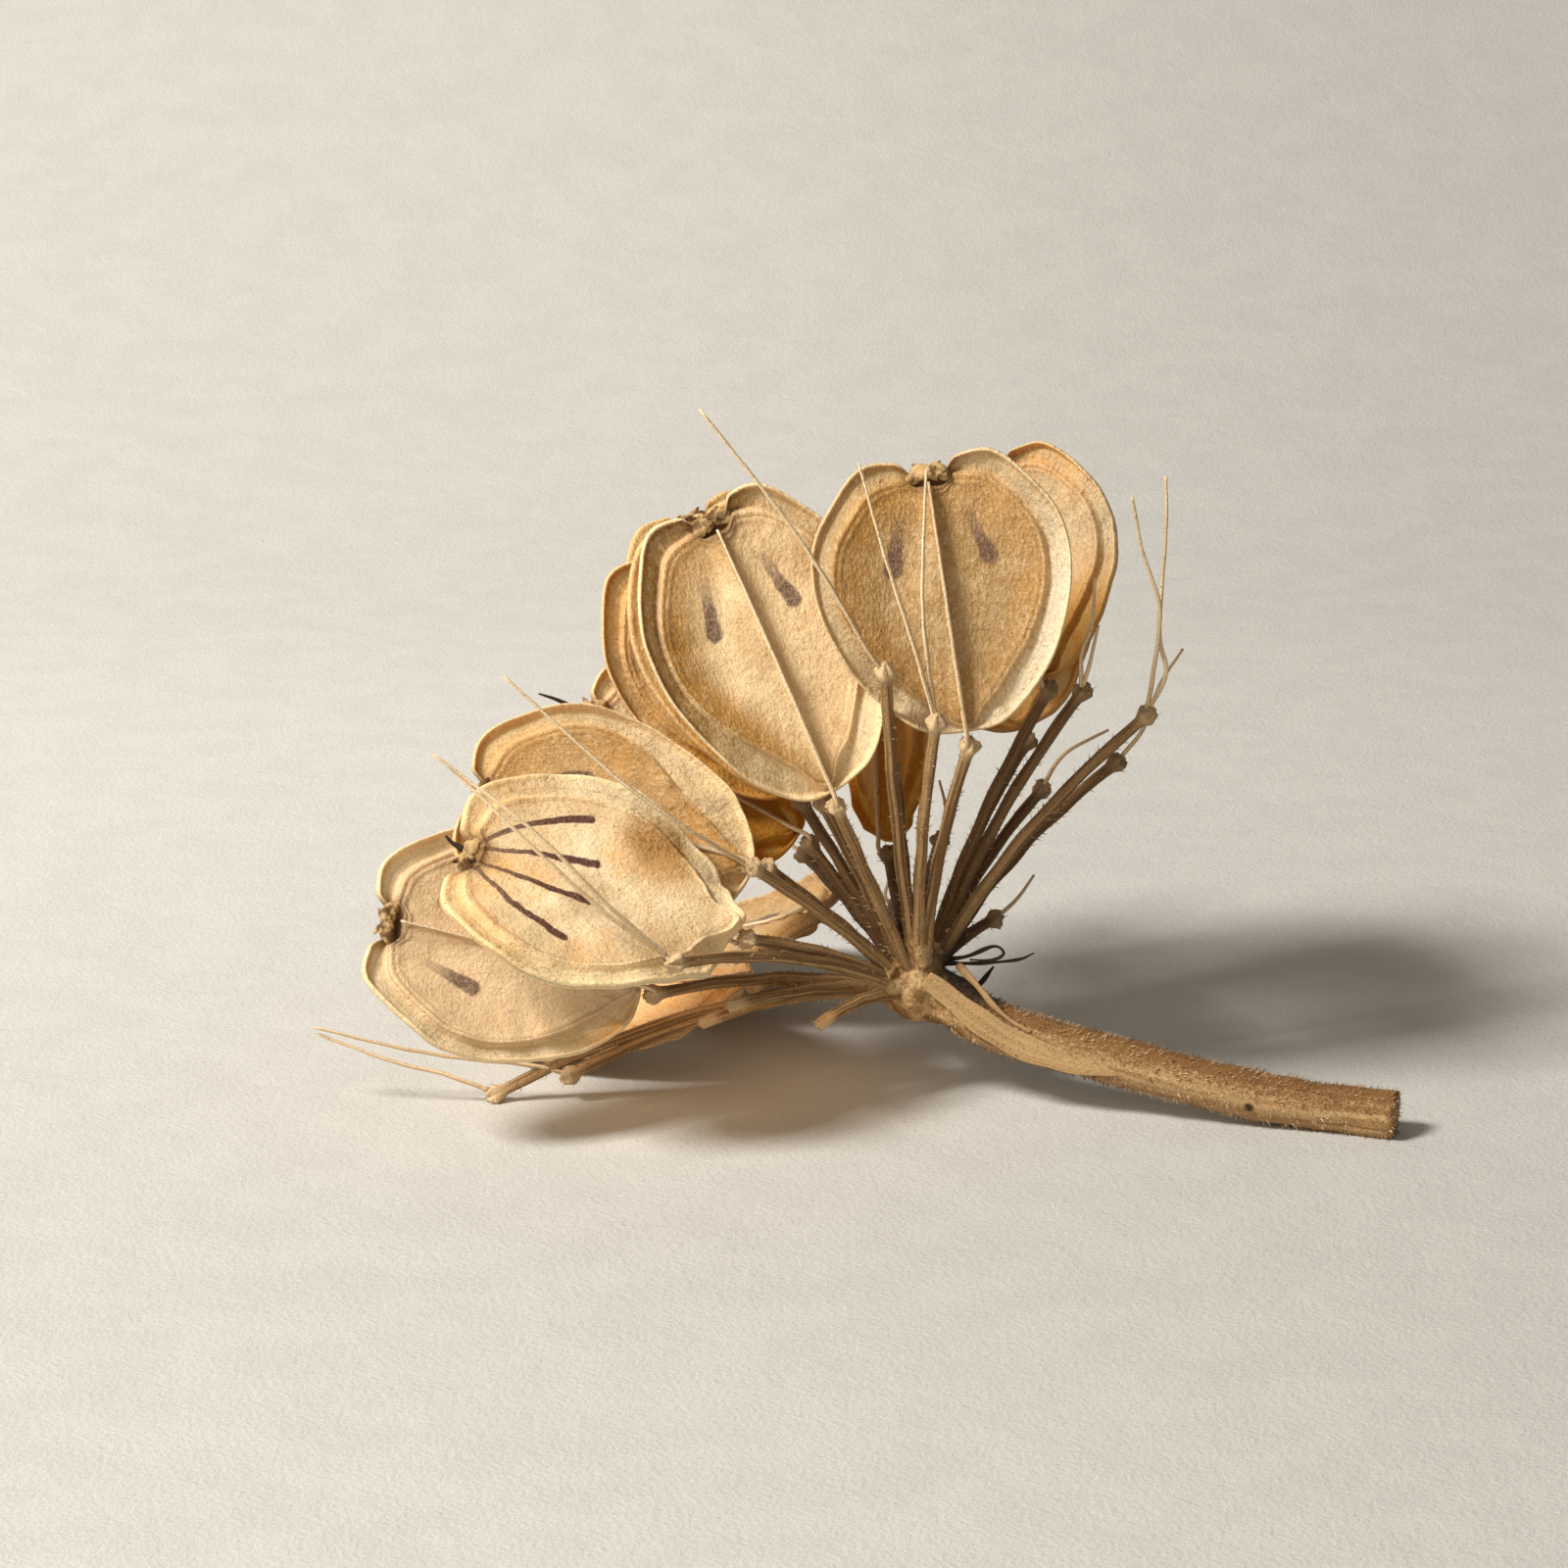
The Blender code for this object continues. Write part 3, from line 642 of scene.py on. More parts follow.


# Each seed's colours, some of them painted light and shade. Tint lies in clouds over the straw,
# more of it the higher tinted is; its orange is partly the seed's own and partly painted glow of
# light through the thin seed. The wing tone covers the wing, thinly on the left as the inner face
# is seen and near the apex, so on the lit side it is partly a painted highlight; channel_shade
# darkens the groove inside the rim, partly its own olive tone and partly painted shade under the
# raised rim, most on the left; golden paints the margin of the field, partly its own tone and
# partly painted shade from the rim, by rim_shade_left more on the left; blush tints the wing near
# the apex, partly its own orange and partly painted glow; and dusty scales the darker clouds,
# streaks and flecks. The shade_all value paints shade over the whole seed and shade_base over its
# base, where other seeds shade it, and the darker straws of seed_right_front and seed_back_low are
# partly painted shade. Hollow is a darker golden patch with dark crumbs, painted on its back where
# it is sunken: across, along, size.
STRAW = (0.76, 0.51, 0.245)
CREAM = (0.83, 0.68, 0.46)
TAN = (0.44, 0.275, 0.115)
ORANGE = (0.88, 0.48, 0.16)
SEED_SKINS = {
    "seed_middle_front": dict(straw=(0.90, 0.67, 0.385), tinted=0.02, channel_shade=1.0,
                              golden=0.55, rim_shade_left=0.75, dusty=0.8),
    # Its tan straw is partly painted shade.
    "seed_right_front": dict(straw=TAN, tint=(0.50, 0.28, 0.09), tinted=0.10, wing_tone=CREAM,
                             channel_shade=0.25, golden=0.6, rim_shade_left=0.35),
    "seed_right_far": dict(straw=(0.64, 0.48, 0.29), tinted=0.06, wing_tone=(0.64, 0.49, 0.30),
                           golden=0.2, blush=0.7, shade_base=0.8),
    "seed_middle_inner": dict(straw=(0.66, 0.42, 0.17), tinted=0.18, blush=0.5,
                              wing_tone=(0.56, 0.33, 0.115), shade_base=0.5),
    "seed_middle_outer": dict(straw=(0.66, 0.42, 0.17), tinted=0.22, blush=0.6,
                              wing_tone=(0.56, 0.33, 0.115), shade_base=0.7),
    "seed_left_top": dict(straw=(1.0, 0.84, 0.58), tinted=0.16, blush=0.5, shade_base=0.95),
    "seed_left_upper": dict(straw=(0.56, 0.365, 0.16), tinted=0.08, wing_tone=(0.84, 0.62, 0.35),
                            channel_shade=0.25, golden=0.5, blush=0.45, dusty=0.6),
    "seed_left_ribbed": dict(straw=(0.97, 0.775, 0.49), tinted=0.12, golden=0.35, blush=0.6,
                             wing_tone=(0.96, 0.74, 0.43), dusty=0.7, hollow=(-1.5, 3.0, 1.6)),
    "seed_left_lower": dict(straw=(0.80, 0.61, 0.375), tinted=0.0, channel_shade=0.20,
                            golden=0.10, dusty=0.35),
    "seed_low_flat": dict(straw=(0.70, 0.44, 0.20), tinted=0.16, channel_shade=0.3),
    "seed_core": dict(straw=STRAW, tinted=0.20, shade_all=0.75, shade_base=0.95),
    # Its dark straw is partly painted shade.
    "seed_back_low": dict(straw=(0.42, 0.265, 0.12), tint=TAN, tinted=0.06, shade_base=0.3),
    "seed_back_middle": dict(straw=STRAW, tinted=0.10, shade_all=0.2, shade_base=0.8),
    "seed_back_right": dict(straw=STRAW, tinted=0.08, shade_base=0.6),
}


def seed_finish(name, straw, tinted, tint=ORANGE, wing_tone=None, channel_shade=0.5, golden=0.3,
                rim_shade_left=0.0, blush=0.15, dusty=1.0, shade_all=0.0, shade_base=0.0, hollow=None):
    """Dry papery seed skin: flecked field, cream rim, darker channel, orange tints, oil lines."""
    skin = Finish(name, roughness=0.58, specular=0.24)
    across, along, share = skin.parts(skin.stored("sheet"))
    inner = skin.stored("inner", "Fac")
    back = skin.minus(1.0, inner)
    tip = skin.stored("tip", "Fac")
    cloud = skin.mottle(skin.place, 2.4, detail=3.0)
    blotch = skin.mottle(skin.place, 0.55, roughness=0.65)
    grain = skin.mottle(skin.place, 0.10, detail=3.0, roughness=0.65)
    flecks = skin.mottle(skin.joined(across, skin.times(along, 0.42), skin.times(inner, 3.0)),
                         0.085, detail=2.0, roughness=0.55)
    fibres = skin.mottle(skin.joined(across, skin.times(along, 0.08), inner), 0.16)
    crinkle = skin.mottle(skin.vector("MULTIPLY", skin.stored("around"), (9.0, 9.0, 1.4)), 0.55,
                          detail=3.0)
    wing = skin.rise(share, 0.81, 0.86)
    field = skin.minus(1.0, wing)

    skin.colour(straw)
    # The orange clouds are partly the seed's own tint and partly painted glow of light through it.
    skin.cover(skin.rise(cloud, 0.60 - tinted, 0.86 - tinted, end=0.8), tint)
    skin.cover(skin.rise(blotch, 0.40, 0.7, end=0.30), (0.92, 0.71, 0.43))
    # Painted shade, partly the field's own golden tone: the margin inside the rim, most on the
    # left.
    margin = skin.times(skin.rise(share, 0.35, 0.80), field,
                        skin.rise(cloud, 0.30, 0.60, start=0.5, end=1.3),
                        skin.rise(across, -2.8, 2.2, start=1 + rim_shade_left, end=1 - rim_shade_left))
    skin.cover(skin.times(margin, golden), (0.47, 0.235, 0.045))
    # Partly a painted highlight: the wing tone covers the wing most on its lit right side and
    # lower part.
    lit_side = skin.times(skin.rise(across, -0.8, 1.6, start=0.35, end=0.95),
                          skin.rise(along, 8.2, 4.2, start=0.35))
    torn = skin.plus(share, skin.times(skin.minus(grain, 0.5), 0.22))
    skin.cover(skin.times(skin.rise(torn, 0.79, 0.90), lit_side), wing_tone or straw)
    shade = skin.times(skin.rise(cloud, 0.52, 0.34), field)
    skin.cover(skin.times(shade, 0.50 * dusty), (0.45, 0.23, 0.05))
    streaks = skin.times(skin.rise(fibres, 0.52, 0.68), field)
    skin.cover(skin.times(streaks, 0.30 * dusty), (0.45, 0.24, 0.065))
    # The blush near the apex is partly the seed's own orange and partly painted glow through the
    # wing.
    rosy = skin.times(skin.rise(torn, 0.74, 0.86), skin.rise(along, 5.0, 8.0),
                      skin.rise(blotch, 0.30, 0.55, start=0.3))
    skin.cover(skin.times(rosy, blush), (0.82, 0.42, 0.12))

    channel = skin.times(skin.rise(share, 0.835, 0.86), skin.rise(share, 0.988, 0.962))
    # Painted shade under the raised rim, partly the groove's own olive tone: most on the left and
    # away from the base.
    channel_shade_mask = skin.times(channel, skin.rise(crinkle, 0.3, 0.7, start=1.0, end=0.75), inner,
                      channel_shade, skin.rise(across, 2.2, 0.6, start=0.35),
                      skin.rise(along, 1.0, 3.4, start=0.25))
    skin.cover(channel_shade_mask, (0.22, 0.10, 0.010))
    skin.cover(skin.times(channel, back, 0.30), (0.60, 0.35, 0.11))
    skin.cover(skin.rise(share, 0.965, 0.99, end=0.40), (0.92, 0.70, 0.40))
    for at, wide in ((0.800, 0.008), (0.838, 0.006), (0.905, 0.005)):
        line = skin.rise(skin.math("ABSOLUTE", skin.minus(share, at)), wide, 0.0)
        skin.cover(skin.times(line, 0.5), (0.36, 0.17, 0.04))
    skin.cover(skin.rise(flecks, 0.52, 0.68, end=0.26), (0.96, 0.77, 0.49))
    skin.cover(skin.rise(flecks, 0.44, 0.30, end=0.28 * dusty), (0.42, 0.24, 0.08))
    skin.cover(skin.rise(grain, 0.42, 0.28, end=0.18 * dusty), (0.36, 0.20, 0.07))

    wobble = skin.times(skin.minus(blotch, 0.5), 0.22)
    x, y = skin.plus(across, wobble), skin.plus(along, wobble)
    short = oil_line(skin, x, y, (0.95, 6.80), (1.32, 5.40), 0.15, 0.27, 0.0, 0.65)
    fan = skin.math("MAXIMUM",
                    oil_line(skin, x, y, (0.40, 8.0), (2.05, 5.0), 0.075, 0.14, 0.22, 0.2),
                    oil_line(skin, x, y, (0.18, 8.1), (0.64, 4.55), 0.06, 0.14, 0.05, 0.2))
    patchy = skin.rise(grain, 0.30, 0.62, start=1.0, end=0.72)
    skin.cover(skin.times(short, inner, patchy), (0.115, 0.058, 0.046))
    skin.cover(skin.times(fan, back), (0.105, 0.038, 0.028))
    specks = skin.mottle(skin.place, 0.16, detail=1.0)
    skin.cover(skin.rise(specks, 0.72, 0.78, end=0.5), (0.24, 0.10, 0.03))
    sand = skin.mottle(skin.place, 0.055, detail=2.0, roughness=0.7)
    skin.cover(skin.rise(sand, 0.54, 0.70, end=0.30), (0.98, 0.80, 0.53))
    skin.cover(skin.rise(sand, 0.46, 0.30, end=0.30), (0.36, 0.18, 0.045))
    # Painted shade in the notch round the cap.
    cap_shade = spot_mask(skin, across, along, (0.0, 8.35), 1.05)
    skin.cover(skin.times(cap_shade, 0.85), (0.16, 0.075, 0.02))
    if hollow:
        drift = skin.times(skin.minus(cloud, 0.5), 3.0)
        drift_x = skin.plus(skin.plus(across, drift), skin.times(wobble, 4))
        pit = spot_mask(skin, drift_x, skin.plus(along, drift), hollow[:2], hollow[2])
        pit = skin.times(pit, back)
        skin.cover(skin.times(pit, 0.75), (0.50, 0.26, 0.06))
        crumbs = skin.times(skin.rise(grain, 0.42, 0.58, start=0.95, end=0.15),
                            skin.rise(across, hollow[0] + 0.6, hollow[0] - 0.6))
        skin.cover(skin.times(pit, crumbs), (0.33, 0.15, 0.035))
    # Painted shade over the whole seed, and more towards its base, where other seeds shade it.
    painted_shade = skin.rise(along, 5.0, 1.5, start=shade_all, end=max(shade_all, shade_base))
    skin.cover(painted_shade, (0.56, 0.25, 0.014))
    # The cap is olive with dark patches, partly painted shade in its crevices.
    olive = skin.mix(skin.rise(blotch, 0.40, 0.57), (0.12, 0.058, 0.016), (0.60, 0.40, 0.18))
    skin.cover(skin.rise(tip, 0.2, 0.45), olive)
    skin.cover(skin.rise(tip, 0.6, 1.0), (0.03, 0.014, 0.008))
    skin.relief((blotch, 0.06), (skin.times(crinkle, wing), 0.06), (flecks, 0.065 * dusty),
                (grain, 0.035), (sand, 0.022))
    skin.shader.inputs["Subsurface Weight"].default_value = 0.25
    skin.shader.inputs["Subsurface Radius"].default_value = (1.0, 0.62, 0.36)
    skin.shader.inputs["Subsurface Scale"].default_value = 0.28 * MM
    return skin.material


seed_forms = {name: SeedForm(row, i) for i, (name, row) in enumerate(SEEDS.items())}
for name, form in seed_forms.items():
    skin = seed_finish(name + "_skin", **SEED_SKINS[name])
    make_piece(name.replace("seed_", "winged_seed_"), [form.shell(), *form.cap()], skin, name)


# The pedicels are the fine stalks that fan from the hub, one for each fruit. Each is thicker at
# its root and ends in a pale knob with a ragged crown, where the fruit's two halves were held.
# Those far back and high up are painted dark as shade, most of all at their roots, and their
# knobs less pale.
HUB_CENTRE = (-0.3, 3.1, 0.2)
HUB_ROOT_RING = 0.45
UMBEL_AXIS = Vector((-0.35, 0.15, 0.93)).normalized()
PEDICEL_RADIUS = 0.165
PEDICEL_ROOT_SWELL = 1.3
PEDICEL_LEAN = 0.35
PEDICEL_BEND = 0.45
PEDICEL_POINTS = 46
PEDICEL_SIDES = 24
KNOB_SWELL = 0.14
CROWN_REACH = 0.36
REAR_SHADE_DEPTHS = (-3.2, 1.2)
REAR_SHADE_HEIGHTS = (1.5, 6.0)
ROOT_SHADE = 3.0
PEDICEL_APART = 37.0

# Pedicels whose seeds have dropped: the tip, then the routes of the bare threads left on it
BARE_PEDICELS = (
    ((-1.2, 12.4, -3.6), (((-1.7, 13.0, -3.8), (-2.8, 14.9, -4.0), (-4.2, 17.0, -4.1),
                           (-6.7, 20.2, -4.0)),)),
    ((0.3, 10.9, -4.1), (((-0.3, 13.0, -4.3), (-1.2, 15.8, -4.1), (-2.0, 18.6, -3.6)),
                         ((0.0, 13.2, -4.2), (-0.1, 14.9, -4.0), (0.0, 18.4, -3.1)))),
    ((4.6, 11.8, 0.6), (((4.6, 12.9, 0.3), (4.9, 13.8, 0.3), (5.0, 15.2, 0.3)),
                        ((4.9, 12.9, 0.3), (5.1, 13.8, 0.4)))),
    ((6.5, 11.1, -1.0), (((6.8, 12.9, -1.0), (6.9, 14.4, -1.1), (6.4, 16.0, -1.2),
                          (6.1, 17.6, -1.3)),
                         ((7.1, 12.4, -0.9), (6.9, 13.6, -0.8), (7.1, 16.6, -0.7),
                          (7.1, 18.2, -0.6)))),
    ((5.6, 9.7, 4.2), (((6.4, 10.7, 4.4), (6.9, 12.0, 4.6), (7.6, 13.1, 4.9)),)),
    ((3.4, 8.9, 4.8), (((4.0, 9.9, 5.0), (4.8, 10.4, 5.2), (5.4, 10.7, 5.4)),)),
    ((2.0, 5.1, 3.0), (((2.6, 5.6, 3.6), (3.2, 6.4, 4.1)),)),
    ((-5.1, 6.6, -2.9), (((-7.1, 7.8, -3.9), (-8.8, 9.0, -4.1), (-10.3, 10.3, -3.9),
                          (-12.5, 12.3, -3.4)),)),
    ((-7.4, 3.8, -6.8), (((-9.4, 5.5, -7.2), (-11.6, 7.7, -6.9), (-14.6, 10.0, -6.0)),
                         ((-9.5, 5.3, -7.1), (-11.8, 7.4, -6.8), (-14.3, 9.8, -6.0)))),
    ((-5.6, 2.6, -1.9), ()),
    ((-6.4, 2.1, -1.2), ()),
    ((-10.5, 0.5, -0.8), (((-11.8, 0.8, -0.8), (-13.8, 1.0, -0.8), (-15.6, 1.3, -0.8),
                           (-18.1, 1.9, -1.0)),)),
    ((-12.7, -0.06, -0.9), (((-14.2, 0.5, -1.0), (-15.8, 0.9, -1.0), (-18.0, 1.7, -0.9)),)),
    ((-3.0, 2.1, -1.6), ()),
    ((-0.9, 9.4, 0.9), ()),
    ((0.4, 7.4, 6.2), (((0.6, 8.2, 6.8), (0.4, 9.2, 7.6)),)),
    ((-3.6, 7.0, 6.6), (((-4.3, 7.6, 7.5), (-4.5, 8.4, 8.4)),)),
    ((-0.9, 5.4, 7.0), (((-1.2, 5.8, 8.0), (-1.0, 6.6, 9.0)),)),
)


def pedicel_route(tip):
    """The stalk leaves the hub near the umbel's axis and bends outwards to its tip."""
    hub = spot(*HUB_CENTRE)
    out = (tip - hub).normalized()
    root = hub + (out - UMBEL_AXIS * out.dot(UMBEL_AXIS)) * HUB_ROOT_RING
    reach = (tip - root).length
    bend = root + (out + UMBEL_AXIS * PEDICEL_LEAN).normalized() * reach * PEDICEL_BEND
    shares = [k / (PEDICEL_POINTS - 1) for k in range(PEDICEL_POINTS)]
    return [root * (1 - t) ** 2 + bend * 2 * t * (1 - t) + tip * t * t for t in shares]


def pedicel_shell(tip, number, rng, broken):
    """The stalk from the hub to the top of its knob, with the crown's lobes. A broken one ends
    in a plain pale stub."""
    route = pedicel_route(tip)
    heading = (route[-1] - route[-2]).normalized()
    for k in range(1, 9):
        route.append(tip + heading * CROWN_REACH * k / 8)
    spin, kink = rng.uniform(0, math.tau), rng.uniform(0.01, 0.03)
    sway = heading.orthogonal().normalized()
    for k, point in enumerate(route[4:-9]):
        fade = math.sin(math.pi * k / (PEDICEL_POINTS - 5))
        route[k + 4] = point + sway * kink * fade * math.sin(0.55 * k + spin)
    total = sum((b - a).length for a, b in zip(route, route[1:]))

    def radius(length, share, angles):
        past = length - (total - CROWN_REACH)
        root = 1 + (PEDICEL_ROOT_SWELL - 1) * (1 - share) ** 3
        ribs = 0.022 * np.abs(np.cos(2.5 * angles + spin)) - 0.012
        ribs = ribs + 0.008 * np.sin(3.1 * length + 2 * angles)
        knob = KNOB_SWELL * math.exp(-((past - 0.02) / 0.15) ** 2) - 0.03 * (past > 0)
        crown = max(0.0, min(1.0, past / 0.10))
        lobes = crown * (0.02 + 0.06 * np.cos(5 * angles + spin) + 0.035 * np.cos(8 * angles))
        lobes = lobes + 0.03 * math.exp(-(past / 0.25) ** 2) * np.sin(4 * angles + 2 * spin)
        close = 1 if past < CROWN_REACH * 0.8 else 0.40
        if broken:
            knob, lobes = 0.0, 0.02 * crown * np.cos(3 * angles)
        return (PEDICEL_RADIUS * root + ribs + knob + lobes) * close

    shell = rod(route, radius, PEDICEL_SIDES, start=PEDICEL_APART * number)
    reached = shell["grain"][:, 2] - PEDICEL_APART * number
    # Painted shade: stalks far back and high up are darkened, most at their roots, and their knobs
    # made less pale.
    behind = step(tip.y - HUB_FOOT.y, *REAR_SHADE_DEPTHS) * step(tip.z, *REAR_SHADE_HEIGHTS)
    shell["pale"] = (1 - 0.7 * behind) * step(reached, total - CROWN_REACH - 0.45,
                                              total - CROWN_REACH - 0.05)
    shell["rear_shade"] = behind * (0.75 + 0.6 * np.exp(-(reached / ROOT_SHADE) ** 2))
    return shell


rng = random.Random(11)
pedicel_tips = [form.seat() for form in seed_forms.values()]
pedicel_tips += [spot(*tip) for tip, threads in BARE_PEDICELS]
pedicel_finish = woody_finish("pedicel_skin", (0.47, 0.295, 0.135), (0.20, 0.105, 0.035), 0.50,
                              0.05)
# Painted shade over the rear stalks, darkest at their roots.
pedicel_finish.cover(pedicel_finish.times(pedicel_finish.stored("rear_shade", "Fac"), 0.85),
                     (0.095, 0.042, 0.010))
pedicel_finish.cover(pedicel_finish.times(pedicel_finish.stored("pale", "Fac"), 0.75),
                     (0.74, 0.54, 0.31))
whole = len(seed_forms)
pedicels = make_piece("pedicels",
                      [pedicel_shell(tip, k, rng, k >= whole and not BARE_PEDICELS[k - whole][1])
                       for k, tip in enumerate(pedicel_tips)],
                      pedicel_finish.material, "stalk")


# The hub is the knuckle at the top of the stem that all pedicels grow from. It is one lumpy mass,
# so its ball, the pedicels' roots and the stem's top are melted into one skin.
HUB_RADIUS = 0.98
HUB_LUMP = 0.13
HUB_LUMP_SIZES = (0.5, 0.22)
ROOT_LENGTH = 10
ROOT_RADIUS = 0.32
STEM_TOP_LENGTH = 14
STEM_TOP_RADIUS = 0.86
HUB_VOXEL = 0.06
CREVICE = (1.45, 3.6, 0.3)
CREVICE_RIM = (2.2, 1.3)


def ball_radius(length, share, angles):
    return HUB_RADIUS * math.sqrt(max(0.0, 1 - (2 * share - 1) ** 2)) + 0.02 + 0 * angles


hub_centre = spot(*HUB_CENTRE)
hub_shells = [rod([hub_centre + UMBEL_AXIS * HUB_RADIUS * t for t in np.linspace(-1, 1, 24)],
                  ball_radius, 32)]
for tip in pedicel_tips:
    root = pedicel_route(tip)[:ROOT_LENGTH]
    hub_shells.append(rod(root, lambda length, share, angles:
                          np.full(len(angles), ROOT_RADIUS - 0.15 * share), 12))
hub_shells.append(rod(seen_route(STEM_ROUTE, 8)[:STEM_TOP_LENGTH], lambda length, share, angles:
                      np.full(len(angles), STEM_TOP_RADIUS - 0.20 * share), 24))
hub_finish = Finish("hub_skin", roughness=0.65, specular=0.25)
hub_cloud = hub_finish.mottle(hub_finish.place, 0.6)
hub_pits = hub_finish.mottle(hub_finish.place, 0.13, detail=3.0)
hub_finish.colour((0.24, 0.12, 0.035))
hub_finish.cover(hub_finish.rise(hub_cloud, 0.38, 0.60), (0.55, 0.36, 0.17))
hub_finish.cover(hub_finish.rise(hub_pits, 0.48, 0.30, end=0.6), (0.07, 0.035, 0.015))
hub_finish.relief((hub_cloud, 0.10), (hub_pits, 0.05))


def paint_crevice_shade(finish):
    """Painted shade: the crook between the hub, the stem and the strap is painted near black."""
    uneven = finish.times(finish.mottle(finish.place, 0.4), 0.7)
    away = finish.plus(finish.distance(CREVICE), uneven)
    finish.cover(finish.rise(away, *CREVICE_RIM, end=0.94), (0.022, 0.012, 0.007))


# The hub, the stem and the pedicels carry the crook's painted shade.
for finish in (hub_finish, stem_finish, pedicel_finish):
    paint_crevice_shade(finish)
hub = make_body("hub", hub_shells, hub_finish.material)
melt = hub.modifiers.new("melt", "REMESH")
melt.mode = "VOXEL"
melt.voxel_size = HUB_VOXEL * MM
melt.use_smooth_shade = True
even = hub.modifiers.new("even", "SMOOTH")
even.iterations = 4
melted = bpy.data.meshes.new_from_object(hub.evaluated_get(bpy.context.evaluated_depsgraph_get()))
hub.modifiers.clear()
hub.data = melted
large, small = HUB_LUMP_SIZES
for vert in melted.vertices:
    lump = noise.noise(vert.co / (large * MM)) + 0.5 * noise.noise(vert.co / (small * MM))
    vert.co += vert.normal * HUB_LUMP * MM * lump
    vert.co.z = max(vert.co.z, 0)
hand_over(hub, "stalk")


# The threads are the bare halves of the fruits' inner stalks. They stay on the knobs when the
# seeds drop, and run up the inner face of the seeds that are left.
THREAD_RADIUS = 0.075
THREAD_SIDES = 8
THREAD_APART = 50.0
BARE_THREAD_APART = 31.0


def thread_radius(length, share, angles):
    return THREAD_RADIUS * (1 - 0.45 * share) * (1 + 0.12 * np.sin(5 * length + angles))


thread_shells = []
for form in seed_forms.values():
    thread_shells.append(rod(smooth_route(form.thread(), 10), thread_radius, THREAD_SIDES,
                             start=THREAD_APART * form.number))
for k, (tip, threads) in enumerate(BARE_PEDICELS):
    for thread in threads:
        route = seen_route((tip, *thread), 12)
        thread_shells.append(rod(route, thread_radius, THREAD_SIDES,
                                 start=BARE_THREAD_APART * k))
thread_finish = woody_finish("thread_skin", (0.88, 0.70, 0.46), (0.55, 0.38, 0.20), 0.6, 0.01)
make_piece("threads", thread_shells, thread_finish.material, "stalk")


# Dark dried bracteoles, the small leaves under the umbel, curl from the hub; their near-black tone
# is partly their own and partly painted shade. A flat strap of dead leaf base still clings along
# the stem, with a thin torn edge beside it. All are dry plant tissue.
BRACTEOLES = (
    ((0.4, 3.9, 0.6), (1.2, 4.0, 0.8), (2.0, 4.3, 0.9), (2.3, 4.1, 0.9), (2.0, 3.9, 0.8),
     (1.3, 3.9, 0.7)),
    ((0.4, 3.8, 0.9), (1.6, 3.8, 1.2), (2.7, 3.9, 1.5), (3.2, 4.1, 1.6)),
    ((0.9, 2.8, 0.2), (1.5, 3.1, 0.9), (2.0, 3.7, 1.4)),
)
BRACTEOLE_APART = 9.0
BRACTEOLE_RADIUS = 0.13
BRACTEOLE_FLAT = 0.55
STRAP_ROUTE = ((0.0, 3.35, -0.7), (0.7, 2.8, -0.95), (1.5, 2.15, -1.25), (2.6, 1.45, -1.55),
               (3.8, 1.0, -1.95), (5.2, 0.7, -2.35), (6.6, 0.62, -2.6))
STRAP_WIDTH = 0.76
STRAP_FLAT = 0.11
STRAP_EDGE_RADIUS = 0.13
STRAP_EDGE_FLAT = 0.6
STRAP_EDGE_ROUTE = ((0.95, 3.75, -0.15), (1.5, 3.15, -0.75), (2.0, 2.55, -1.1), (2.5, 2.1, -1.3),
                    (3.1, 1.75, -1.5))


def bracteole_radius(length, share, angles):
    return BRACTEOLE_RADIUS * (1 - 0.55 * share) + 0.02 * np.sin(6 * length) + 0 * angles


# Near black, partly their own dark tone and partly painted shade.
bract_finish = woody_finish("bracteole_skin", (0.12, 0.075, 0.045), (0.025, 0.014, 0.008), 0.5,
                            0.03)
make_piece("bracteoles",
           [rod(seen_route(route, 12), bracteole_radius, 12, flat=BRACTEOLE_FLAT,
                start=BRACTEOLE_APART * k) for k, route in enumerate(BRACTEOLES)],
           bract_finish.material, "stalk")


def strap_radius(length, share, angles):
    """Half the strap's width, narrow at both ends."""
    taper = math.sin(math.pi * min(1, 0.15 + 0.85 * share)) ** 0.6
    return STRAP_WIDTH / 2 * max(0.12, taper) * (1 + 0.06 * np.sin(4 * length)) + 0 * angles


def edge_radius(length, share, angles):
    return STRAP_EDGE_RADIUS * (1 - 0.6 * share) * (1 + 0.15 * np.sin(5 * length)) + 0 * angles


strap_finish = woody_finish("strap_skin", (0.45, 0.285, 0.13), (0.37, 0.225, 0.095), 0.45, 0.02)
make_piece("strap",
           [rod(seen_route(STRAP_ROUTE, 12), strap_radius, 36, flat=STRAP_FLAT, across=above),
            rod(seen_route(STRAP_EDGE_ROUTE, 12), edge_radius, 12, flat=STRAP_EDGE_FLAT,
                across=above)],
           strap_finish.material, "stalk")


# Short stiff hairs stand on the stem and on the ribs of the pedicels. They lean towards the tip.
# Density is hairs to a square mm, length and thickness are in mm.
HAIR_SIDES = 3
HAIR_THICKNESS = 0.021
STEM_HAIRS = dict(density=60.0, length=0.19, lean=0.5, seed=3)
PEDICEL_HAIRS = dict(density=14.0, length=0.21, lean=0.8, seed=5)


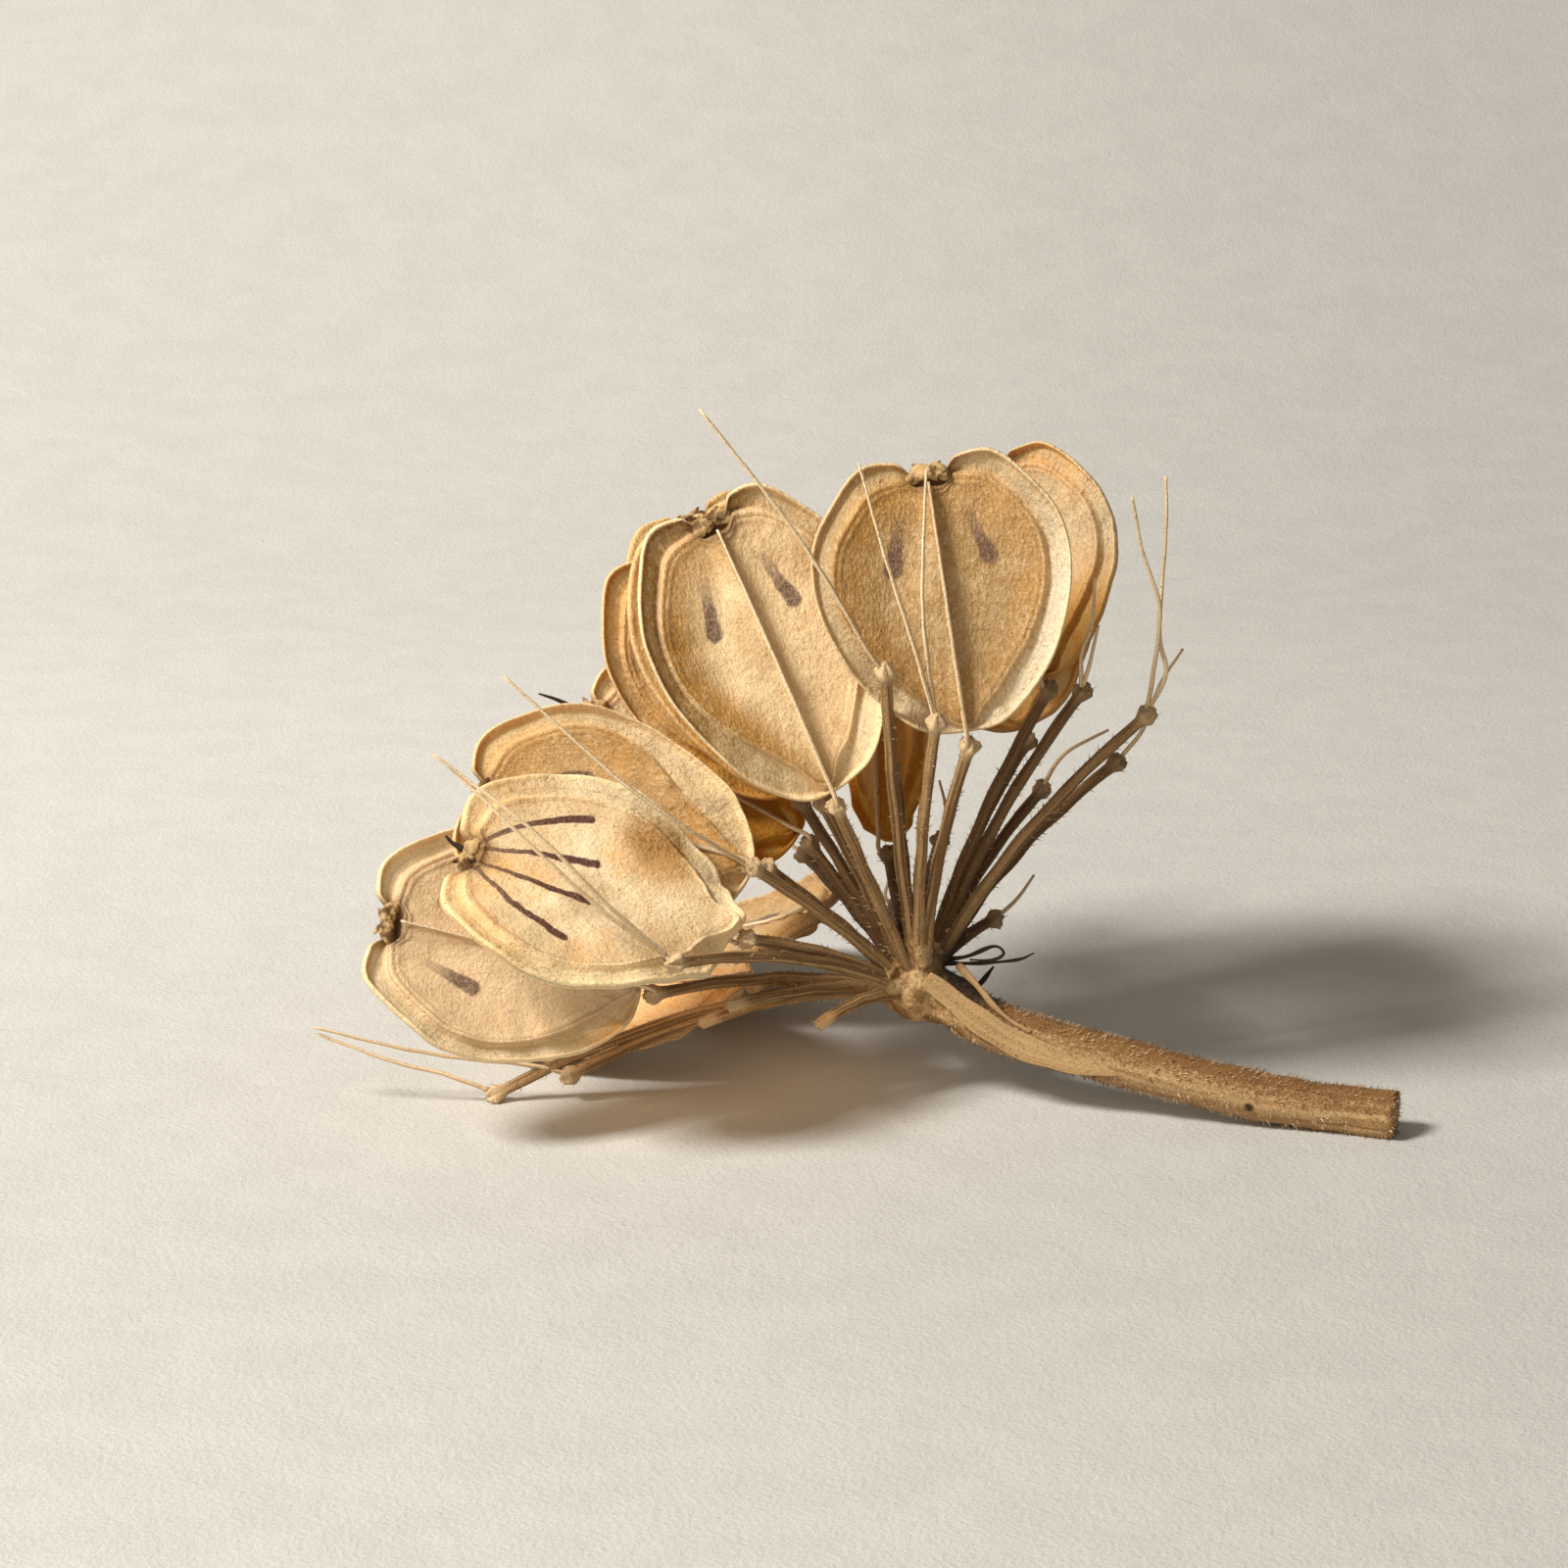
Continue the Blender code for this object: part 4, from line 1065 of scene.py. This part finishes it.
def hair_network(finish):
    """Geometry Nodes: one thin cone at each random place on a surface, leaning along it."""
    group = bpy.data.node_groups.new("stiff_hairs", "GeometryNodeTree")
    face = group.interface
    face.new_socket("Geometry", in_out="INPUT", socket_type="NodeSocketGeometry")
    for name in ("Density", "Length", "Lean", "Seed"):
        kind = "NodeSocketInt" if name == "Seed" else "NodeSocketFloat"
        face.new_socket(name, in_out="INPUT", socket_type=kind)
    face.new_socket("Geometry", in_out="OUTPUT", socket_type="NodeSocketGeometry")

    def add(kind, inputs=None, **settings):
        node = group.nodes.new(kind)
        for key, value in settings.items():
            setattr(node, key, value)
        for key, value in (inputs or {}).items():
            if isinstance(value, bpy.types.NodeSocket):
                group.links.new(value, node.inputs[key])
            else:
                node.inputs[key].default_value = value
        return node

    given = add("NodeGroupInput").outputs
    run = add("GeometryNodeInputNamedAttribute", {"Name": "run"}, data_type="FLOAT_VECTOR")
    leaning = add("ShaderNodeVectorMath", {0: run.outputs["Attribute"], "Scale": given["Lean"]},
                  operation="SCALE")
    places = add("GeometryNodeDistributePointsOnFaces",
                 {"Mesh": given["Geometry"], "Density": given["Density"], "Seed": given["Seed"]})
    uneven = add("FunctionNodeRandomValue", {"Min": (-0.3, -0.3, -0.3), "Max": (0.3, 0.3, 0.3),
                                             "Seed": given["Seed"]}, data_type="FLOAT_VECTOR")
    heading = add("ShaderNodeVectorMath", {0: places.outputs["Normal"],
                                           1: leaning.outputs[0]}, operation="ADD")
    ragged = add("ShaderNodeVectorMath", {0: heading.outputs[0], 1: uneven.outputs[0]},
                 operation="ADD")
    turn = add("FunctionNodeAlignRotationToVector", {"Vector": ragged.outputs[0]}, axis="Z")
    cone = add("GeometryNodeMeshCone", {"Vertices": HAIR_SIDES, "Radius Top": 0.0,
                                        "Radius Bottom": HAIR_THICKNESS * MM,
                                        "Depth": given["Length"]})
    size = add("FunctionNodeRandomValue", {2: 0.35, 3: 1.0, "Seed": given["Seed"]},
               data_type="FLOAT")
    hairs = add("GeometryNodeInstanceOnPoints",
                {"Points": places.outputs["Points"], "Instance": cone.outputs["Mesh"],
                 "Rotation": turn.outputs["Rotation"], "Scale": size.outputs[1]})
    real = add("GeometryNodeRealizeInstances", {"Geometry": hairs.outputs["Instances"]})
    dressed = add("GeometryNodeSetMaterial", {"Geometry": real.outputs[0], "Material": finish})
    add("NodeGroupOutput", {"Geometry": dressed.outputs[0]})
    return group


def grow_hairs(name, surface, network, density, length, lean, seed):
    """The hairs of one surface as a plain mesh piece."""
    hairy = add_object(name, surface.data)
    grower = hairy.modifiers.new("hairs", "NODES")
    grower.node_group = network
    values = {"Density": density / MM ** 2, "Length": length * MM, "Lean": lean, "Seed": seed}
    for item in network.interface.items_tree:
        if item.in_out == "INPUT" and item.name in values:
            grower[item.identifier] = values[item.name]
    view = bpy.context.evaluated_depsgraph_get()
    mesh = bpy.data.meshes.new_from_object(hairy.evaluated_get(view))
    bpy.data.objects.remove(hairy)
    for vert in mesh.vertices:
        vert.co.z = max(vert.co.z, 0)
    return hand_over(add_object(name, mesh), "stalk")


hair_finish = Finish("hair_skin", roughness=0.6, specular=0.3)
hair_cloud = hair_finish.mottle(hair_finish.place, 0.7)
hair_finish.colour((0.22, 0.12, 0.05))
hair_finish.cover(hair_finish.rise(hair_cloud, 0.4, 0.6), (0.68, 0.50, 0.30))
# The hairs carry the crook's painted shade as well.
paint_crevice_shade(hair_finish)
stiff_hairs = hair_network(hair_finish.material)
grow_hairs("stem_hairs", stem, stiff_hairs, **STEM_HAIRS)
grow_hairs("pedicel_hairs", pedicels, stiff_hairs, **PEDICEL_HAIRS)


# The head lies on one sheet of cream paper that runs back and curves up behind it. Its tone
# carries
# painted light and shade: a little darker towards the front and the right, lighter towards the
# back.
PAPER_HALF_WIDTH = 900.0
PAPER_FRONT = -900.0
PAPER_BEND_AT = 60.0
PAPER_BEND_RADIUS = 120.0
PAPER_TOP = 420.0
PAPER_BEND_STEPS = 24
profile = [(PAPER_FRONT, 0.0), (-60.0, 0.0), (0.0, 0.0), (PAPER_BEND_AT, 0.0)]
for k in range(1, PAPER_BEND_STEPS + 1):
    turn = math.pi / 2 * k / PAPER_BEND_STEPS
    profile.append((PAPER_BEND_AT + PAPER_BEND_RADIUS * math.sin(turn),
                    PAPER_BEND_RADIUS * (1 - math.cos(turn))))
profile.append((PAPER_BEND_AT + PAPER_BEND_RADIUS, PAPER_TOP))
paper_points = [(x * MM, y * MM, z * MM) for y, z in profile
                for x in (-PAPER_HALF_WIDTH, PAPER_HALF_WIDTH)]
paper_faces = [(2 * k, 2 * k + 1, 2 * k + 3, 2 * k + 2) for k in range(len(profile) - 1)]
paper_mesh = bpy.data.meshes.new("paper")
paper_mesh.from_pydata(paper_points, [], paper_faces)
paper_mesh.polygons.foreach_set("use_smooth", [True] * len(paper_mesh.polygons))
paper_finish = Finish("cream_paper", roughness=0.85, specular=0.15)
tooth = paper_finish.mottle(paper_finish.place, 0.16, detail=5.0)
pulp = paper_finish.mottle(paper_finish.place, 2.5, detail=3.0)
rough = paper_finish.mottle(paper_finish.place, 0.55, detail=3.0)
paper_finish.colour((0.625, 0.610, 0.572))
paper_finish.cover(paper_finish.rise(pulp, 0.35, 0.65), (0.655, 0.640, 0.600))
paper_finish.cover(paper_finish.rise(tooth, 0.55, 0.35, end=0.25), (0.555, 0.540, 0.500))
# Painted light and shade: darker towards the front and the right, lighter towards the back.
to_right, to_back = paper_finish.parts(paper_finish.place)[:2]
painted_falloff = paper_finish.times(paper_finish.rise(to_back, -25.0, 55.0, start=0.87, end=1.10),
                            paper_finish.rise(to_right, -15.0, 32.0, start=1.0, end=0.90))
paper_finish.colour(paper_finish.vector("SCALE", paper_finish.coat, scale=painted_falloff))
paper_finish.relief((rough, 0.035), (tooth, 0.045))
paper_mesh.materials.append(paper_finish.material)
paper = add_object("paper", paper_mesh)


# The light comes from a window on the left. A pale wall behind the viewer sends a little warm
# light back under the head, and the sun that shines through the thin seeds warms the paper in the
# shade right under them. Directions point from the head to the light; sizes and places are in mm.
WINDOW_TO = Vector((-0.62, -0.35, 0.74)).normalized()
WINDOW_AWAY = 260.0
WINDOW_AIM = Vector((-4, 0, 8))
WINDOW_SIZE = (72.0, 62.0)
WINDOW_POWER = 1.0
WINDOW_COLOUR = (1.0, 0.96, 0.905)
WALL_TO = Vector((-0.25, -0.85, 0.42)).normalized()
WALL_AWAY = 250.0
WALL_SIZE = (150.0, 150.0)
WALL_POWER = 0.13
WALL_COLOUR = (1.0, 0.87, 0.69)
GLOW_AT = Vector((-3.5, -3.5, 3.0))
GLOW_SIZE = (13.0, 8.0)
GLOW_POWER = 9e-5
GLOW_COLOUR = (1.0, 0.56, 0.22)
ROOM_COLOUR = (1.0, 0.97, 0.93, 1)
ROOM_STRENGTH = 0.10


def soft_light(name, shape, place, size, power, colour):
    """A flat light at a place, facing down."""
    data = bpy.data.lights.new(name, "AREA")
    data.shape = shape
    data.size, data.size_y = size[0] * MM, size[1] * MM
    data.energy = power
    data.color = colour
    light = add_object(name, data)
    light.location = place * MM
    return light


window = soft_light("window", "RECTANGLE", WINDOW_TO * WINDOW_AWAY + WINDOW_AIM, WINDOW_SIZE,
                    WINDOW_POWER, WINDOW_COLOUR)
window.rotation_euler = WINDOW_TO.to_track_quat("Z", "Y").to_euler()
wall = soft_light("wall", "RECTANGLE", WALL_TO * WALL_AWAY, WALL_SIZE, WALL_POWER, WALL_COLOUR)
wall.rotation_euler = WALL_TO.to_track_quat("Z", "Y").to_euler()
glow = soft_light("glow", "ELLIPSE", GLOW_AT, GLOW_SIZE, GLOW_POWER, GLOW_COLOUR)
glow.visible_camera = False
room = bpy.data.worlds.new("room")
room.use_nodes = True
room.node_tree.nodes["Background"].inputs["Color"].default_value = ROOM_COLOUR
room.node_tree.nodes["Background"].inputs["Strength"].default_value = ROOM_STRENGTH
bpy.context.scene.world = room
bpy.context.scene.view_settings.view_transform = "Standard"
